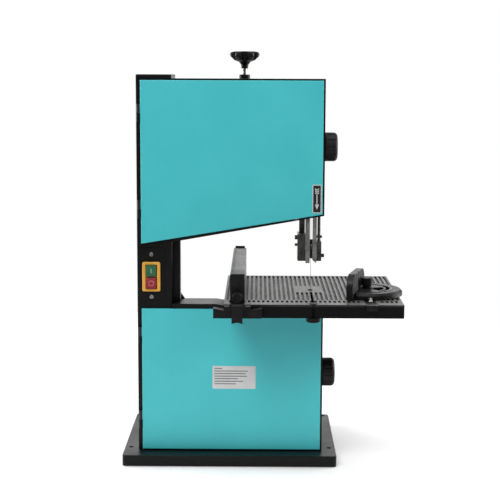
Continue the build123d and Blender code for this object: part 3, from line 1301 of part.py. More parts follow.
# ---- mitre gauge -----------------------------------------------------------
def mitre_bar():
    """Bar that slides in the table's slot, with the pivot stud of the head."""
    half = MITRE_SLOT_W / 2 - 0.15
    low = TABLE_TOP - MITRE_SLOT_DEPTH + 0.2
    bar = block(MITRE_X - half, MITRE_X + half, *MITRE_BAR_Y, low, low + MITRE_BAR_H)
    return bar + rod(MITRE_X, MITRE_PIVOT_Y, low + MITRE_BAR_H, 3.0, 24)


def mitre_pointer():
    """Bright angle pointer at the front end of the bar."""
    low = TABLE_TOP - MITRE_SLOT_DEPTH + 0.2 + MITRE_BAR_H
    y0 = MITRE_PIVOT_Y - MITRE_DISC_R - 2
    base = block(MITRE_X - 4, MITRE_X + 4, y0 - 14, y0 - 2, low, low + 6)
    arrow = polygon((MITRE_X - 3, y0 - 2), (MITRE_X + 3, y0 - 2), (MITRE_X, y0 + 1.5))
    tip = top_prism(arrow, low + 4, low + 6)
    return base + tip


def mitre_head():
    """Half disc with its scale groove and window, and the upright face plate."""
    low, high = MITRE_DISC_Z
    half_plane = Pos(MITRE_DISC_R / 2 - 4, 0) * Rectangle(MITRE_DISC_R + 8, 2 * MITRE_DISC_R)
    disc = top_prism(Circle(MITRE_DISC_R) & half_plane, low, high)
    disc = chamfer(disc.faces().sort_by(Axis.Z)[-1].edges().filter_by(GeomType.CIRCLE), 4)
    window = (Circle(29) - Circle(10)) & Pos(24, 0) * Rectangle(34, 70)
    window &= polygon((0, 0), (60, -46), (60, 46))
    slot = (Circle(39) - Circle(33)) & polygon((0, 0), (60, -70), (60, 70))
    disc -= top_prism(window, low, high)
    disc -= top_prism(slot, low, high)
    disc += top_prism((Circle(44) - Circle(40.5)) & half_plane, high, high + 0.6)
    plate_x = -MITRE_OFFSET - MITRE_PLATE_T / 2
    outline = Pos(-sum(MITRE_PLATE) / 2, (low + MITRE_PLATE_TOP) / 2) * Rectangle(
        MITRE_PLATE[1] - MITRE_PLATE[0], MITRE_PLATE_TOP - low
    )
    plate = side_prism(outline, plate_x, plate_x + MITRE_PLATE_T)
    top_corners = plate.edges().filter_by(Axis.X).group_by(Axis.Z)[-1]
    plate = fillet(top_corners, 22)
    back = plate_x + MITRE_PLATE_T
    for y in MITRE_RIB_GAPS:
        plate -= block(back - MITRE_GROOVE, back, -y - 1.2, -y + 1.2, high + 3, MITRE_PLATE_TOP)
    plate += block(back, 0, -14, 14, low, high)
    body = disc + plate - rod(0, 0, low, 3.0 + RUN, MITRE_PLATE_TOP - low)
    return Pos(MITRE_X, MITRE_PIVOT_Y, 0) * Rot(0, 0, MITRE_TURN - 90) * body


def mitre_washer():
    """Bright washer under the clamp knob."""
    return ring(MITRE_X, MITRE_PIVOT_Y, MITRE_DISC_Z[1] + 0.1, 9.0, 3.0 + RUN, 1.5)


def mitre_knob():
    """Clamp knob of the mitre head."""
    z0 = MITRE_DISC_Z[1] + 1.8
    knob = rod(MITRE_X, MITRE_PIVOT_Y, z0, 7.5, 4)
    knob += rod(MITRE_X, MITRE_PIVOT_Y, z0 + 4, MITRE_KNOB_R, 13)
    knob = fillet(knob.edges().sort_by(Axis.Z)[-1], 1.5)
    return knob - rod(MITRE_X, MITRE_PIVOT_Y, z0, 3.0 + RUN, 13.5)


# ---- labels ----------------------------------------------------------------
def door_label(x0, x1, z0, z1):
    """Thin plate on a door's face."""
    outline = Pos((x0 + x1) / 2, (z0 + z1) / 2) * RectangleRounded(x1 - x0, z1 - z0, 1.5)
    return front_prism(outline, DOOR_FACE_Y - 0.3, DOOR_FACE_Y)


# ---- nodes -----------------------------------------------------------------
start_z, stop_z = button_places()
jaw_reach = BLADE_X - BLADE_T / 2 - JAW_GAP - GUIDE_LEFT[0]
lower_guide_z = LOWER_GUIDE_Z + LOWER_GUIDE_H / 2
lower_reach = LOWER_JAW_REACH - BLADE_T / 2 - JAW_GAP
hub_front = BLADE_Y - HUB_LEN / 2
hub_back = BLADE_Y + HUB_LEN / 2
case_back = BACK_Y + BEARING_CASE_LEN

nodes = {
    "base_plate": [base_plate()],
    "rubber_feet": rubber_feet(),
    "column": [column() + column_gusset()],
    "column_cap": [column_cap()],
    "blade_return_guard": [blade_return_guard()],
    "upper_housing": [upper_housing()],
    "lower_housing": [lower_housing()],
    "dust_port": [dust_port()],
    "cord_gland": [cord_gland()],
    "upper_door": [door(upper_door_outline, UPPER_HINGES_Z) + door_hook(UPPER_LOCK_Z)],
    "lower_door": [door(lower_door_outline, LOWER_HINGES_Z) + door_hook(LOWER_LOCK_Z)],
    "door_hinges": hinge_brackets() + hinge_pins(),
    "upper_door_lock": [lock_knob(UPPER_LOCK_Z), lock_tongue(UPPER_LOCK_Z)],
    "lower_door_lock": [lock_knob(LOWER_LOCK_Z), lock_tongue(LOWER_LOCK_Z)],
    "switch_box": [switch_plate(), switch_body()],
    "switch_bezel": [switch_bezel()],
    "start_button": [push_button(start_z)],
    "stop_button": [push_button(stop_z)],
    "frame_screws": switch_screws() + motor_bolts() + trunnion_bolts(),
    "arrow_label": [door_label(*ARROW_LABEL)],
    "rating_label": [door_label(*RATING_LABEL)],
    "upper_wheel": [wheel(UPPER_WHEEL_Z, BEARING_R)]
    + bearings(UPPER_WHEEL_Z, hub_front, hub_back - BEARING_W),
    "upper_tyre": [tyre(UPPER_WHEEL_Z)],
    "axle_block": [axle_block(), upper_axle(), axle_nut(UPPER_WHEEL_Z)],
    "lower_wheel": [lower_wheel()],
    "lower_tyre": [tyre(LOWER_WHEEL_Z)],
    "lower_axle": [lower_axle(), axle_nut(LOWER_WHEEL_Z)],
    "bearing_case": [bearing_case()]
    + bearings(LOWER_WHEEL_Z, BACK_Y + 2, case_back - BEARING_W - 2),
    "blade": [blade()],
    "drive_belt": [drive_belt()],
    "motor_body": [motor_body() + motor_plate(), fan_cover(), capacitor_box()],
    "motor_rotor": [motor_shaft(), motor_pulley(), motor_fan()],
    "tension_bracket": [tension_bracket(), tension_collar()] + carriage_rails(),
    "tension_spindle": [tension_spindle()],
    "tension_knob": [tension_knob()],
    "wheel_carriage": [wheel_carriage(), pivot_pin()],
    "tension_spring": [tension_spring()],
    "tracking_knob": [tracking_screw(), tracking_knob()],
    "guide_carrier": [guide_carrier(), guide_post()],
    "guide_clamp": [guide_clamp()],
    "guide_lock_knob": [guide_lock_screw(), guide_lock_knob()],
    "guide_jaws": guide_pins(GUIDE_PIN_Z, jaw_reach) + guide_screws()
    + [guide_rod(), guide_eye(), thrust_pin(GUIDE_LEFT[1] - 6, GUIDE_RIGHT[0] + 6, THRUST_Z)],
    "guard_strips": [
        guard_strip(*LEFT_STRIP, GUIDE_LEFT[1], False),
        guard_strip(*RIGHT_STRIP, GUIDE_RIGHT[0], True),
    ],
    "upper_thrust_bearing": [thrust_bearing(THRUST_Z)],
    "lower_guide_block": [lower_guide_block()] + guide_pins(lower_guide_z, lower_reach)
    + [thrust_pin(BLADE_X - LOWER_JAW_REACH, BLADE_X + LOWER_JAW_REACH, lower_guide_z)],
    "lower_thrust_bearing": [thrust_bearing(lower_guide_z)],
    "table": [table()],
    "table_insert": [table_insert()],
    "slot_bolt": [slot_bolt(), slot_knob()],
    "table_trunnion": [table_trunnion()],
    "trunnion_bracket": [trunnion_bracket()],
    "tilt_lock_knob": [tilt_bolt(), tilt_knob()],
    "fence_rail": [fence_rail()],
    "fence_head": [fence_head(), fence_lever_pin()],
    "fence_lever": [fence_lever()],
    "fence_rear_hook": [fence_rear_hook()],
    "mitre_bar": [mitre_bar()],
    "mitre_pointer": [mitre_pointer(), mitre_washer()],
    "mitre_head": [mitre_head()],
    "mitre_knob": [mitre_knob()],
}
for node, pieces in nodes.items():
    save(node, *pieces)
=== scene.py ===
import math

import bpy
import numpy as np
from mathutils import Euler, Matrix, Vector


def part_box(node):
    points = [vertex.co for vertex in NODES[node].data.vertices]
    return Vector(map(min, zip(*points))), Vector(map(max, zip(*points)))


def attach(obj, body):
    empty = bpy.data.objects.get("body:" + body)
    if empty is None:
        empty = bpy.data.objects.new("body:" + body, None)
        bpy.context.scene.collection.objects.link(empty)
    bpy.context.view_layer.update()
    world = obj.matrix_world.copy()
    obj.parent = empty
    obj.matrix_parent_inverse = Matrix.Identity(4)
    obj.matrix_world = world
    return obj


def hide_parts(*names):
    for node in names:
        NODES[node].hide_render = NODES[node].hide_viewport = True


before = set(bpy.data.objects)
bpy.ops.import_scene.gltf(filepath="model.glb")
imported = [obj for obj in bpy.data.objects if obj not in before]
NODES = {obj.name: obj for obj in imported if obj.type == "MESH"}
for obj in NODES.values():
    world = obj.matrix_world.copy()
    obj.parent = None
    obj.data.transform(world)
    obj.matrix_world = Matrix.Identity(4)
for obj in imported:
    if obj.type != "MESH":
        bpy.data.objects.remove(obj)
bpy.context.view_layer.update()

MM = 0.001

# ---- camera, light and floor -----------------------------------------------
CAMERA_PLACE = (48.6 * MM, -2244.9 * MM, 678.9 * MM)
CAMERA_YAW = math.radians(0.381)
CAMERA_DOWN = math.radians(8.042)
CAMERA_ROLL = math.radians(0.2245)
CAMERA_LENS = 89.05
FLOOR_R = 1.3
FLOOR_GLOW = 0.24        # the paper floor is lit from under, as a light table is
ROOM_LIGHT = 0.17        # the dim room around the lamps

# ---- finishes --------------------------------------------------------------
EDGE_BREAK = 0.45 * MM   # broken edge of the sheet and cast pieces
EDGE_ANGLE = math.radians(32)

# ---- table -----------------------------------------------------------------
RIB_TOP_DEPTH = (0.5 * MM, 0.2 * MM)     # milled metal ends this far under the table's face
GROOVE_DEPTH = (4.0 * MM, 3.0 * MM)      # bare metal ends and black paint starts

# ---- doors -----------------------------------------------------------------
LEAF_EDGE_X = (-154.6, -154.2)           # teal paint starts between these places

# ---- blade -----------------------------------------------------------------
WHEEL_X = 23.5
WHEEL_Z = (152.5, 540.5)
BLADE_LOOP_R = 117.55    # middle of the band's thickness
BLADE_HALF_T = 0.25
BLADE_Y = (-94.75, -85.25)
TOOTH_PITCH = 4.2
GULLET = 1.5

# ---- switch ----------------------------------------------------------------
SWITCH_X = -137.0
BUTTON_Z = (342.1, 320.3)
BUTTON_FACE_Y = -127.5
MARK_T = 0.6             # thickness of the printed marks, half of it sunk in the button
ON_BAR = (1.2, 8.0)      # width and height of the bar on the start button
OFF_RING = (4.8, 4.0)    # outer and inner radius of the ring on the stop button

# ---- labels and scales -----------------------------------------------------
LABEL_FACE_Y = -124.3
LABEL_INK_T = 0.12
SIGN_BORDER = 1.5
ARROW_SHAFT_W = 1.8
ARROW_HEAD_W = 7.2
FEATHER_W = 6.8
FEATHER_DROPS = np.array([8.0, 11.5, 15.0])     # feathers' distances below the sign's top
ROW_STEP = 4.6
ROW_T = 1.5
ROW_MARGIN = 3.5
ROW_LENGTHS = (0.20, 0.86, 0.80, 0.83, 0.60, 0.74, 0.55)    # share of the label's width
TICK_STEP = 5.0
TICK_W = 0.8
TICKS = 54
MITRE_PIVOT = (237.9, -125.0)
MITRE_FACING = math.radians(-15.3)    # direction of the half disc's middle from the pivot
MITRE_TOP = 313.5
# Size of the white patch painted on the pointer's tip as a highlight.
POINTER_GLINT_W = 7.2
POINTER_GLINT_T = 0.4


def linear(hexcode):
    """sRGB hex colour as linear values with full alpha."""
    parts = [int(hexcode[i:i + 2], 16) / 255 for i in (1, 3, 5)]
    return (*[c / 12.92 if c <= 0.04045 else ((c + 0.055) / 1.055) ** 2.4 for c in parts], 1.0)


# ---- materials -------------------------------------------------------------
def add(tree, kind, values, output=0, **settings):
    """Adds a node with its settings, sets or links its inputs, and returns one output."""
    node = tree.nodes.new(kind)
    for name, value in settings.items():
        setattr(node, name, value)
    for key, value in values.items():
        if isinstance(value, bpy.types.NodeSocket):
            tree.links.new(value, node.inputs[key])
        else:
            node.inputs[key].default_value = value
    return node.outputs[output]


NOISE = "ShaderNodeTexNoise"
RANGE = "ShaderNodeMapRange"
BLEND = "ShaderNodeMix"
MATHS = "ShaderNodeMath"
LOW, HIGH, TO_LOW, TO_HIGH = 1, 2, 3, 4
SHARE, FIRST, SECOND, COLOUR_OUT = 0, 6, 7, 2


def finish(name, colours, blotch, grain, depth, rough, metallic=0.0, ior=1.5, stretch=(1, 1, 1),
           wear=None, mask=None):
    """A surface with two tones in blotches, fine grain in its relief, and rubbed patches.

    The sizes of blotch and grain and the depth of the grain are in millimetres. A mask paints
    another colour below a place on one axis, with the place's two edges in millimetres.
    """
    material = bpy.data.materials.new(name)
    material.use_nodes = True
    tree = material.node_tree
    shader = tree.nodes["Principled BSDF"]
    shader.inputs["Metallic"].default_value = metallic
    if not metallic:
        shader.inputs["IOR"].default_value = ior
    place = add(tree, "ShaderNodeTexCoord", {}, "Object")
    grained = add(tree, "ShaderNodeMapping", {"Vector": place, "Scale": stretch})
    cloud = add(tree, NOISE, {"Vector": place, "Scale": 1000 / blotch, "Detail": 4.0})
    fine = add(tree, NOISE, {"Vector": grained, "Scale": 1000 / grain, "Detail": 2.0})
    both = add(tree, MATHS, {0: cloud, 1: fine}, operation="ADD")
    share = add(tree, RANGE, {0: both, LOW: 0.7, HIGH: 1.3})
    tone = add(tree, BLEND, {SHARE: share, FIRST: linear(colours[0]), SECOND: linear(colours[1])},
               COLOUR_OUT, data_type="RGBA")
    if wear:
        smudge = add(tree, NOISE, {"Vector": place, "Scale": 1000 / 17, "Detail": 7.0})
        patch = add(tree, RANGE, {0: smudge, LOW: 0.56, HIGH: 0.8, TO_HIGH: 0.3})
        tone = add(tree, BLEND, {SHARE: patch, FIRST: tone, SECOND: linear(wear)}, COLOUR_OUT,
                   data_type="RGBA")
    if mask:
        axis, low, high, other = mask
        along = add(tree, "ShaderNodeSeparateXYZ", {"Vector": place}, axis)
        part = add(tree, RANGE, {0: along, LOW: low * MM, HIGH: high * MM})
        tone = add(tree, BLEND, {SHARE: part, FIRST: linear(other), SECOND: tone}, COLOUR_OUT,
                   data_type="RGBA")
    gloss = add(tree, RANGE, {0: both, LOW: 0.7, HIGH: 1.3, TO_LOW: rough[0], TO_HIGH: rough[1]})
    relief = add(tree, "ShaderNodeBump", {"Height": fine, "Distance": depth * MM, "Strength": 0.6})
    tree.links.new(tone, shader.inputs["Base Color"])
    tree.links.new(gloss, shader.inputs["Roughness"])
    tree.links.new(relief, shader.inputs["Normal"])
    return material


# Polyester powder coat, sprayed and baked: satin black with fine orange peel.
POWDER_BLACK = finish("powder_coat_black", ("#050505", "#0a0a0a"), 60, 0.9, 0.05, (0.36, 0.5),
                      ior=1.28, wear="#242424")
# The same coat in teal, baked smoother. The hinge leaves at the left edge stay black.
POWDER_TEAL = finish("powder_coat_teal", ("#3bb3ba", "#42bcc2"), 90, 1.1, 0.03, (0.42, 0.52),
                     mask=("X", *LEAF_EDGE_X, "#0b0b0b"))
# Moulded nylon and ABS: black with spark-eroded grain and a soft sheen.
MOULDED_BLACK = finish("moulded_abs_black", ("#070707", "#101010"), 16, 0.8, 0.06, (0.42, 0.6),
                       ior=1.3, wear="#2a2a2a")
MOULDED_YELLOW = finish("moulded_abs_yellow", ("#c98f28", "#dca443"), 12, 0.7, 0.04, (0.35, 0.48),
                        ior=1.49)
MOULDED_GREEN = finish("moulded_abs_green", ("#1f5436", "#316947"), 12, 0.7, 0.04, (0.3, 0.42),
                       ior=1.49)
MOULDED_RED = finish("moulded_abs_red", ("#7d1925", "#982732"), 12, 0.7, 0.04, (0.3, 0.42),
                     ior=1.49)
# Pad-printed marks: the button's colour shows through the thin pale ink.
MARK_GREEN = finish("pad_print_on_green", ("#8fb8a0", "#a8ccb6"), 10, 0.7, 0.02, (0.35, 0.45),
                    ior=1.49)
MARK_RED = finish("pad_print_on_red", ("#b87a80", "#cf9297"), 10, 0.7, 0.02, (0.35, 0.45),
                  ior=1.49)
# Painted highlight: a bright, a little glossy white patch on the pointer's tip stands for the glint of
# light there.
TIP_GLINT_PAINT = finish("painted_tip_highlight", ("#cfcfca", "#e6e6e2"), 6, 0.7, 0.02, (0.35, 0.45))
# Vulcanised rubber: matt black with a chalky bloom.
RUBBER = finish("vulcanised_rubber", ("#0f0f0f", "#232323"), 7, 0.8, 0.06, (0.65, 0.85), ior=1.52)
# Blackened, tumbled steel: dark grey that shines a little where it is rubbed.
BLACK_STEEL = finish("blackened_steel", ("#151515", "#262626"), 9, 1.2, 0.05, (0.4, 0.58),
                     metallic=0.8, wear="#4a4a48")
# Tumbled steel: mid grey, dull, darker in its hollows.
TUMBLED_STEEL = finish("tumbled_steel", ("#3c3c3b", "#626260"), 5, 1.2, 0.06, (0.34, 0.5),
                       metallic=0.9, wear="#8a8a87")
# Painted zinc casting: near black, satin, with a faint pebble.
BLACK_CASTING = finish("painted_zinc_casting", ("#0a0a0a", "#151515"), 14, 1.4, 0.08, (0.36, 0.52),
                       ior=1.3, wear="#2e2e2d")
# Zinc-plated steel: pale grey with fine drawing lines.
ZINC_STEEL = finish("zinc_plated_steel", ("#8c8c88", "#b6b6b2"), 14, 1.4, 0.03, (0.28, 0.42),
                    metallic=1.0, stretch=(1, 1, 0.12))
# Rolled blade steel: cool grey, lines along the band.
BLADE_STEEL = finish("rolled_blade_steel", ("#6f7072", "#a3a4a6"), 20, 1.2, 0.02, (0.25, 0.4),
                     metallic=1.0, stretch=(1, 1, 0.08))
# Anodised extruded aluminium: satin grey with long extrusion lines.
ANODISED = finish("anodised_aluminium", ("#454544", "#575755"), 40, 1.6, 0.03, (0.4, 0.55),
                  metallic=0.8, stretch=(1, 0.05, 1))
# Die-cast aluminium: pebbled light grey skin.
CAST_ALUMINIUM = finish("cast_aluminium", ("#7d7e7f", "#a2a3a4"), 12, 2.2, 0.1, (0.42, 0.6),
                        metallic=0.85)
# Polyester label film: pale grey print ground, with dark grey and black print inks.
LABEL_FILM = finish("label_film", ("#b9b9b9", "#cccccc"), 25, 1.5, 0.01, (0.3, 0.4))
LABEL_INK = finish("label_ink", ("#4d4d50", "#626264"), 6, 0.6, 0.01, (0.4, 0.5))
SIGN_INK = finish("sign_ink_black", ("#141414", "#1d1d1d"), 6, 0.6, 0.01, (0.35, 0.45))
SCALE_INK = finish("scale_ink_black", ("#1a1a1a", "#262626"), 6, 0.6, 0.01, (0.5, 0.6))


def table_finish(name, top_z):
    """Cast aluminium table: milled rib tops, groove floors darkened to dark grey with painted shade, black
    painted sides.

    Height above the bench picks one of three grounds; lines along Y are the milling marks.
    """
    material = bpy.data.materials.new(name)
    material.use_nodes = True
    tree = material.node_tree
    shader = tree.nodes["Principled BSDF"]
    shader.inputs["IOR"].default_value = 1.2
    place = add(tree, "ShaderNodeTexCoord", {}, "Object")
    height = add(tree, "ShaderNodeSeparateXYZ", {"Vector": place}, "Z")
    is_top = add(tree, RANGE, {0: height, LOW: top_z - RIB_TOP_DEPTH[0], HIGH: top_z - RIB_TOP_DEPTH[1]})
    is_metal = add(tree, RANGE, {0: height, LOW: top_z - GROOVE_DEPTH[0], HIGH: top_z - GROOVE_DEPTH[1]})
    along = add(tree, "ShaderNodeMapping", {"Vector": place, "Scale": (1, 0.06, 1)})
    lines = add(tree, NOISE, {"Vector": along, "Scale": 1000 / 2.4, "Detail": 3.0})
    cloud = add(tree, NOISE, {"Vector": place, "Scale": 1000 / 34, "Detail": 5.0})
    milled = add(tree, BLEND, {SHARE: lines, FIRST: linear("#595958"), SECOND: linear("#7d7d7b")},
                 COLOUR_OUT, data_type="RGBA")
    stain = add(tree, RANGE, {0: cloud, LOW: 0.5, HIGH: 0.75, TO_HIGH: 0.35})
    milled = add(tree, BLEND, {SHARE: stain, FIRST: milled, SECOND: linear("#4c4c4b")}, COLOUR_OUT,
                 data_type="RGBA")
    # Groove floors: bare metal given a dark grey, which is painted shade in the grooves.
    floor = add(tree, BLEND, {SHARE: cloud, FIRST: linear("#1e1e1e"), SECOND: linear("#333332")},
                COLOUR_OUT, data_type="RGBA")
    side = add(tree, BLEND, {SHARE: cloud, FIRST: linear("#070707"), SECOND: linear("#0d0d0d")},
               COLOUR_OUT, data_type="RGBA")
    metal = add(tree, BLEND, {SHARE: is_top, FIRST: floor, SECOND: milled}, COLOUR_OUT,
                data_type="RGBA")
    colour = add(tree, BLEND, {SHARE: is_metal, FIRST: side, SECOND: metal}, COLOUR_OUT,
                 data_type="RGBA")
    metallic = add(tree, MATHS, {0: is_top, 1: 0.7}, operation="MULTIPLY")
    gloss = add(tree, RANGE, {0: lines, LOW: 0.3, HIGH: 0.7, TO_LOW: 0.42, TO_HIGH: 0.6})
    skin = add(tree, NOISE, {"Vector": place, "Scale": 1000 / 1.2, "Detail": 3.0})
    relief = add(tree, "ShaderNodeBump", {"Height": skin, "Distance": 0.05 * MM, "Strength": 0.5})
    tree.links.new(colour, shader.inputs["Base Color"])
    tree.links.new(metallic, shader.inputs["Metallic"])
    tree.links.new(gloss, shader.inputs["Roughness"])
    tree.links.new(relief, shader.inputs["Normal"])
    return material


TABLE_CASTING = table_finish("milled_cast_aluminium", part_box("table")[1][2])

NODE_FINISH = {
    POWDER_BLACK: "base_plate bearing_case blade_return_guard column door_hinges lower_housing motor_body "
                  "switch_box table_trunnion tension_bracket trunnion_bracket upper_housing",
    POWDER_TEAL: "upper_door lower_door",
    MOULDED_BLACK: "column_cap cord_gland dust_port fence_head fence_lever fence_rear_hook guide_lock_knob "
                   "lower_door_lock mitre_knob slot_bolt tension_knob tilt_lock_knob tracking_knob "
                   "upper_door_lock",
    MOULDED_YELLOW: "switch_bezel",
    MOULDED_GREEN: "start_button",
    MOULDED_RED: "stop_button",
    RUBBER: "drive_belt lower_tyre rubber_feet upper_tyre",
    BLACK_STEEL: "axle_block guide_clamp lower_guide_block mitre_bar mitre_pointer wheel_carriage",
    BLACK_CASTING: "mitre_head",
    TUMBLED_STEEL: "guide_carrier guide_jaws",
    ZINC_STEEL: "frame_screws guard_strips lower_axle lower_thrust_bearing motor_rotor "
                "tension_spindle tension_spring upper_thrust_bearing",
    BLADE_STEEL: "blade",
    ANODISED: "fence_rail",
    CAST_ALUMINIUM: "lower_wheel upper_wheel",
    LABEL_FILM: "arrow_label rating_label",
    TABLE_CASTING: "table table_insert",
}
for material, names in NODE_FINISH.items():
    for name in names.split():
        slots = NODES[name].data.materials
        for index in range(len(slots)):
            slots[index] = material

# Sheet, cast and moulded pieces have a small broken edge that catches the light.
EDGED = ("upper_door lower_door upper_housing lower_housing column column_cap base_plate table fence_rail "
         "fence_head mitre_head guide_carrier switch_box guard_strips fence_lever blade_return_guard")
for name in EDGED.split():
    bevel = NODES[name].modifiers.new("broken_edge", "BEVEL")
    bevel.width = EDGE_BREAK
    bevel.segments = 2
    bevel.limit_method = "ANGLE"
    bevel.angle_limit = EDGE_ANGLE
    bevel.harden_normals = True


# ---- surfaces --------------------------------------------------------------
def piece_from(name, points, faces, material, body, smooth=False):
    """Makes a mesh object from arrays in millimetres; it rides on a body."""
    mesh = bpy.data.meshes.new(name)
    mesh.from_pydata((np.asarray(points) * MM).tolist(), [], [list(map(int, face)) for face in faces])
    mesh.polygons.foreach_set("use_smooth", np.full(len(mesh.polygons), smooth))
    mesh.materials.append(material)
    piece = bpy.data.objects.new(name, mesh)
    bpy.context.scene.collection.objects.link(piece)
    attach(piece, body)
    return piece


def ring_quads(rings, around):
    """Faces between rings of points: every point joins its neighbours, and the last ring the first."""
    i, j = np.meshgrid(np.arange(rings), np.arange(around), indexing="ij")
    here = i * around + j
    beside = i * around + (j + 1) % around
    ahead = ((i + 1) % rings) * around
    return np.stack([here, beside, ahead + (j + 1) % around, ahead + j], -1).reshape(-1, 4)


def plates(outlines, y_front, thick):
    """Flat plates standing in X and Z: each outline, clockwise from the front, moved back by thick."""
    points, faces, start = [], [], 0
    for outline in outlines:
        outline = np.asarray(outline, float)
        n = len(outline)
        front = np.c_[outline[:, 0], np.full(n, y_front), outline[:, 1]]
        points += [front, front + [0, thick, 0]]
        i = np.arange(n)
        j = (i + 1) % n
        faces += [start + i[::-1], start + n + i]
        faces += list(start + np.stack([i, j, j + n, i + n], -1))
        start += 2 * n
    return np.concatenate(points), faces


def bars(boxes):
    """Boxes from rows of low and high X, Y and Z: the eight corners are products of the limits."""
    boxes = np.asarray(boxes, float).reshape(-1, 3, 2)
    pick = np.array([[x, y, z] for z in (0, 1) for y in (0, 1) for x in (0, 1)])
    points = boxes[:, [0, 1, 2], pick].reshape(-1, 3)
    sides = np.array([[0, 2, 3, 1], [4, 5, 7, 6], [0, 1, 5, 4], [2, 6, 7, 3], [0, 4, 6, 2], [1, 3, 7, 5]])
    return points, (sides[None] + 8 * np.arange(len(boxes))[:, None, None]).reshape(-1, 4)


def toothed_blade():
    """The band: a stadium path round both wheels, carried with a four-cornered section.

    The front corners move forward to the tooth tip and back to the gullet in turn along the path.
    """
    straight = WHEEL_Z[1] - WHEEL_Z[0]
    arc = math.pi * BLADE_LOOP_R
    length = 2 * (straight + arc)
    teeth = int(round(length / TOOTH_PITCH))
    s = np.linspace(0, length, 3 * teeth, endpoint=False)
    parts = [straight, straight + arc, 2 * straight + arc]
    turn = np.select([s < parts[0], s < parts[1], s < parts[2]],
                     [0 * s, (s - parts[0]) / BLADE_LOOP_R, 0 * s + math.pi],
                     math.pi + (s - parts[2]) / BLADE_LOOP_R)
    lift = np.select([s < parts[0], s < parts[1], s < parts[2]],
                     [WHEEL_Z[0] + s, 0 * s + WHEEL_Z[1], WHEEL_Z[1] - (s - parts[1])], WHEEL_Z[0])
    out = np.stack([np.cos(turn), 0 * turn, np.sin(turn)], -1)
    middle = np.stack([0 * s + WHEEL_X, 0 * s, lift], -1)
    front = np.where(np.arange(len(s)) % 3 == 0, BLADE_Y[0], BLADE_Y[0] + GULLET)
    rings = []
    for radius, depth in ((BLADE_LOOP_R - BLADE_HALF_T, front), (BLADE_LOOP_R + BLADE_HALF_T, front),
                          (BLADE_LOOP_R + BLADE_HALF_T, 0 * s + BLADE_Y[1]),
                          (BLADE_LOOP_R - BLADE_HALF_T, 0 * s + BLADE_Y[1])):
        rings.append(middle + out * radius + np.stack([0 * s, depth, 0 * s], -1))
    points = np.stack(rings, 1).reshape(-1, 3)
    return points, ring_quads(len(s), 4)


def flat_ring(x, z, outer, inner, y_front, thick, count=48):
    """Flat ring: two concentric circles of points at the front and back, joined round."""
    turn = np.linspace(0, 2 * math.pi, count, endpoint=False)
    rings = []
    y_back = y_front + thick
    for radius, y in ((outer, y_front), (inner, y_front), (inner, y_back), (outer, y_back)):
        rings.append(np.stack([x + radius * np.cos(turn), 0 * turn + y, z + radius * np.sin(turn)], -1))
    return np.stack(rings, 1).reshape(-1, 3), ring_quads(count, 4)[:, ::-1]


points, faces = toothed_blade()
blade = piece_from("toothed_blade", points, faces, BLADE_STEEL, "frame")
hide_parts("blade")

# Marks on the buttons: a bar for on and a ring for off.
mark_front = BUTTON_FACE_Y - MARK_T / 2
bar_x, bar_z = ON_BAR[0] / 2, ON_BAR[1] / 2
points, faces = bars([[SWITCH_X - bar_x, SWITCH_X + bar_x, mark_front, mark_front + MARK_T,
                       BUTTON_Z[0] - bar_z, BUTTON_Z[0] + bar_z]])
piece_from("on_mark", points, faces, MARK_GREEN, "start_button")
points, faces = flat_ring(SWITCH_X, BUTTON_Z[1], *OFF_RING, mark_front, MARK_T)
piece_from("off_mark", points, faces, MARK_RED, "stop_button")


def corners(node):
    """Lowest and highest corner of a node in millimetres."""
    return [[value / MM for value in corner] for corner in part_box(node)]


# ---- labels ----------------------------------------------------------------
(left, _, low), (right, _, high) = corners("arrow_label")
mid = (left + right) / 2
sign = [(left + SIGN_BORDER, low + SIGN_BORDER), (left + SIGN_BORDER, high - SIGN_BORDER),
        (right - SIGN_BORDER, high - SIGN_BORDER), (right - SIGN_BORDER, low + SIGN_BORDER)]
points, faces = plates([sign], LABEL_FACE_Y - LABEL_INK_T, LABEL_INK_T)
piece_from("sign_field", points, faces, SIGN_INK, "upper_door")
half = ARROW_SHAFT_W / 2
shaft = [(mid - half, low + 14), (mid - half, high - 9), (mid + half, high - 9), (mid + half, low + 14)]
half = ARROW_HEAD_W / 2
head = [(mid - half, low + 15), (mid + half, low + 15), (mid, low + 6)]
half = FEATHER_W / 2
feathers = [[(mid - half, z), (mid - half, z + 2.2), (mid, z - 0.4), (mid + half, z + 2.2),
             (mid + half, z), (mid, z - 2.6)] for z in high - FEATHER_DROPS]
points, faces = plates([shaft, head] + feathers, LABEL_FACE_Y - 2 * LABEL_INK_T, LABEL_INK_T)
piece_from("running_arrow", points, faces, LABEL_FILM, "upper_door")

(left, _, _), (right, _, high) = corners("rating_label")
rows = []
for index, share in enumerate(ROW_LENGTHS):
    top = high - 3.6 - index * ROW_STEP
    end = left + ROW_MARGIN + share * (right - left - 2 * ROW_MARGIN)
    rows.append([left + ROW_MARGIN, end, LABEL_FACE_Y - LABEL_INK_T, LABEL_FACE_Y, top - ROW_T, top])
points, faces = bars(rows)
piece_from("rating_rows", points, faces, LABEL_INK, "lower_door")

# ---- fence scale: every fifth tick is longer --------------------------------
(left, front, _), (_, _, high) = corners("fence_rail")
ticks = []
for k in range(TICKS):
    near = front + 12 + TICK_STEP * k
    reach = 9 if k % 5 == 0 else 6
    ticks.append([left + 2, left + reach, near, near + TICK_W, high - 0.05, high + 0.1])
points, faces = bars(ticks)
piece_from("fence_scale", points, faces, SCALE_INK, "fence")


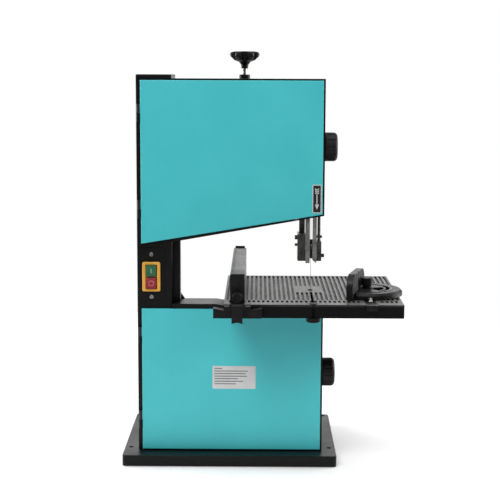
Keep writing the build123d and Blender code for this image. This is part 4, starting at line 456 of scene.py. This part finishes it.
# ---- mitre gauge scale -----------------------------------------------------
def sector(inner, outer, low, high, half_angle, count=40):
    """Flat sector of a ring: an inner and an outer arc at two heights, joined and closed."""
    turn = MITRE_FACING + np.linspace(-half_angle, half_angle, count)
    arcs = [np.stack([MITRE_PIVOT[0] + r * np.cos(turn), MITRE_PIVOT[1] + r * np.sin(turn),
                      0 * turn + z], -1)
            for r, z in ((inner, low), (outer, low), (outer, high), (inner, high))]
    points = np.stack(arcs, 1).reshape(-1, 3)
    i = 4 * np.arange(count - 1)[:, None] + np.arange(4)
    j = 4 * np.arange(count - 1)[:, None] + (np.arange(4) + 1) % 4
    walls = np.stack([i, i + 4, j + 4, j], -1).reshape(-1, 4)
    end = 4 * count
    return points, walls.tolist() + [[0, 1, 2, 3], [end - 1, end - 2, end - 3, end - 4]]


points, faces = sector(12, 29, MITRE_TOP - 7.0, MITRE_TOP - 6.0, math.radians(44))
piece_from("mitre_scale_plate", points, faces, TUMBLED_STEEL, "mitre_head")
points, faces = sector(40.6, 43.8, MITRE_TOP + 0.55, MITRE_TOP + 0.75, math.radians(74))
piece_from("mitre_scale_ring", points, faces, TUMBLED_STEEL, "mitre_head")
# Painted highlight: a white arrow-shaped patch on the front of the pointer stands for the glint at its tip.
(left, front, low), (right, _, _) = corners("mitre_pointer")
mid = (left + right) / 2
half = POINTER_GLINT_W / 2
tip = [(mid - half, low + 1.5), (mid, low + 9.0), (mid + half, low + 1.5)]
points, faces = plates([tip], front - POINTER_GLINT_T, POINTER_GLINT_T)
piece_from("pointer_tip_painted_highlight", points, faces, TIP_GLINT_PAINT, "mitre_bar")

# ---- floor, camera and light -----------------------------------------------
def floor_disc(count=96):
    """Paper floor: a circle of points joined to its centre."""
    turn = np.linspace(0, 2 * math.pi, count, endpoint=False)
    rim = np.stack([FLOOR_R * np.cos(turn), FLOOR_R * np.sin(turn), 0 * turn], -1)
    i = np.arange(count)
    return np.concatenate([rim, [[0, 0, 0]]]), np.stack([i, (i + 1) % count, 0 * i + count], -1)


studio = bpy.data.materials.new("studio_paper")
studio.use_nodes = True
paper = studio.node_tree.nodes["Principled BSDF"].inputs
paper["Base Color"].default_value = linear("#e0e0e0")
paper["Roughness"].default_value = 0.9
paper["Emission Color"].default_value = linear("#ffffff")
paper["Emission Strength"].default_value = FLOOR_GLOW
points, faces = floor_disc()
mesh = bpy.data.meshes.new("studio_floor")
mesh.from_pydata(points.tolist(), [], faces.tolist())
mesh.materials.append(studio)
floor = bpy.data.objects.new("studio_floor", mesh)
bpy.context.scene.collection.objects.link(floor)

camera_data = bpy.data.cameras.new("camera")
camera_data.lens = CAMERA_LENS
camera_data.sensor_width = 36.0
camera_data.clip_end = 50.0
camera = bpy.data.objects.new("camera", camera_data)
camera.location = CAMERA_PLACE
facing = Euler((math.pi / 2 - CAMERA_DOWN, 0, 0)).to_matrix()
yawed = Euler((0, 0, CAMERA_YAW)).to_matrix() @ facing @ Euler((0, 0, CAMERA_ROLL)).to_matrix()
camera.rotation_euler = yawed.to_euler()
bpy.context.scene.collection.objects.link(camera)
bpy.context.scene.camera = camera

LAMPS = (  # name, place, aimed at, size, watts
    ("key", (-0.9, -1.7, 2.3), (0, -0.1, 0.5), 1.2, 46),
    ("fill", (1.9, -1.8, 1.7), (0, -0.1, 0.5), 1.4, 15),
    ("overhead", (0.2, 0.1, 2.4), (0.1, -0.05, 0.3), 1.6, 22),
    ("rear_panel", (0.0, 2.7, 0.9), (0, 0, 0.5), 2.6, 36),
    ("right_panel", (2.6, 0.95, 0.8), (0, 0, 0.4), 1.8, 85),
    ("left_panel", (-2.6, 0.95, 0.8), (0, 0, 0.4), 1.8, 85),
)
for name, place, aim, size, watts in LAMPS:
    lamp_data = bpy.data.lights.new(name, "AREA")
    lamp_data.shape = "SQUARE"
    lamp_data.size = size
    lamp_data.energy = watts
    lamp = bpy.data.objects.new(name, lamp_data)
    lamp.location = place
    lamp.visible_camera = False
    towards = np.subtract(aim, place)
    lamp.rotation_euler = (math.acos(-towards[2] / np.linalg.norm(towards)), 0,
                           math.atan2(-towards[0], towards[1]))
    bpy.context.scene.collection.objects.link(lamp)

world = bpy.data.worlds.new("studio")
world.use_nodes = True
seen = add(world.node_tree, "ShaderNodeLightPath", {}, "Is Camera Ray")
shine = add(world.node_tree, RANGE, {0: seen, LOW: 0.0, HIGH: 1.0, TO_LOW: ROOM_LIGHT, TO_HIGH: 1.0})
backing = world.node_tree.nodes["Background"].inputs
backing["Color"].default_value = linear("#ffffff")
world.node_tree.links.new(shine, backing["Strength"])
bpy.context.scene.world = world
bpy.context.scene.view_settings.view_transform = "Standard"
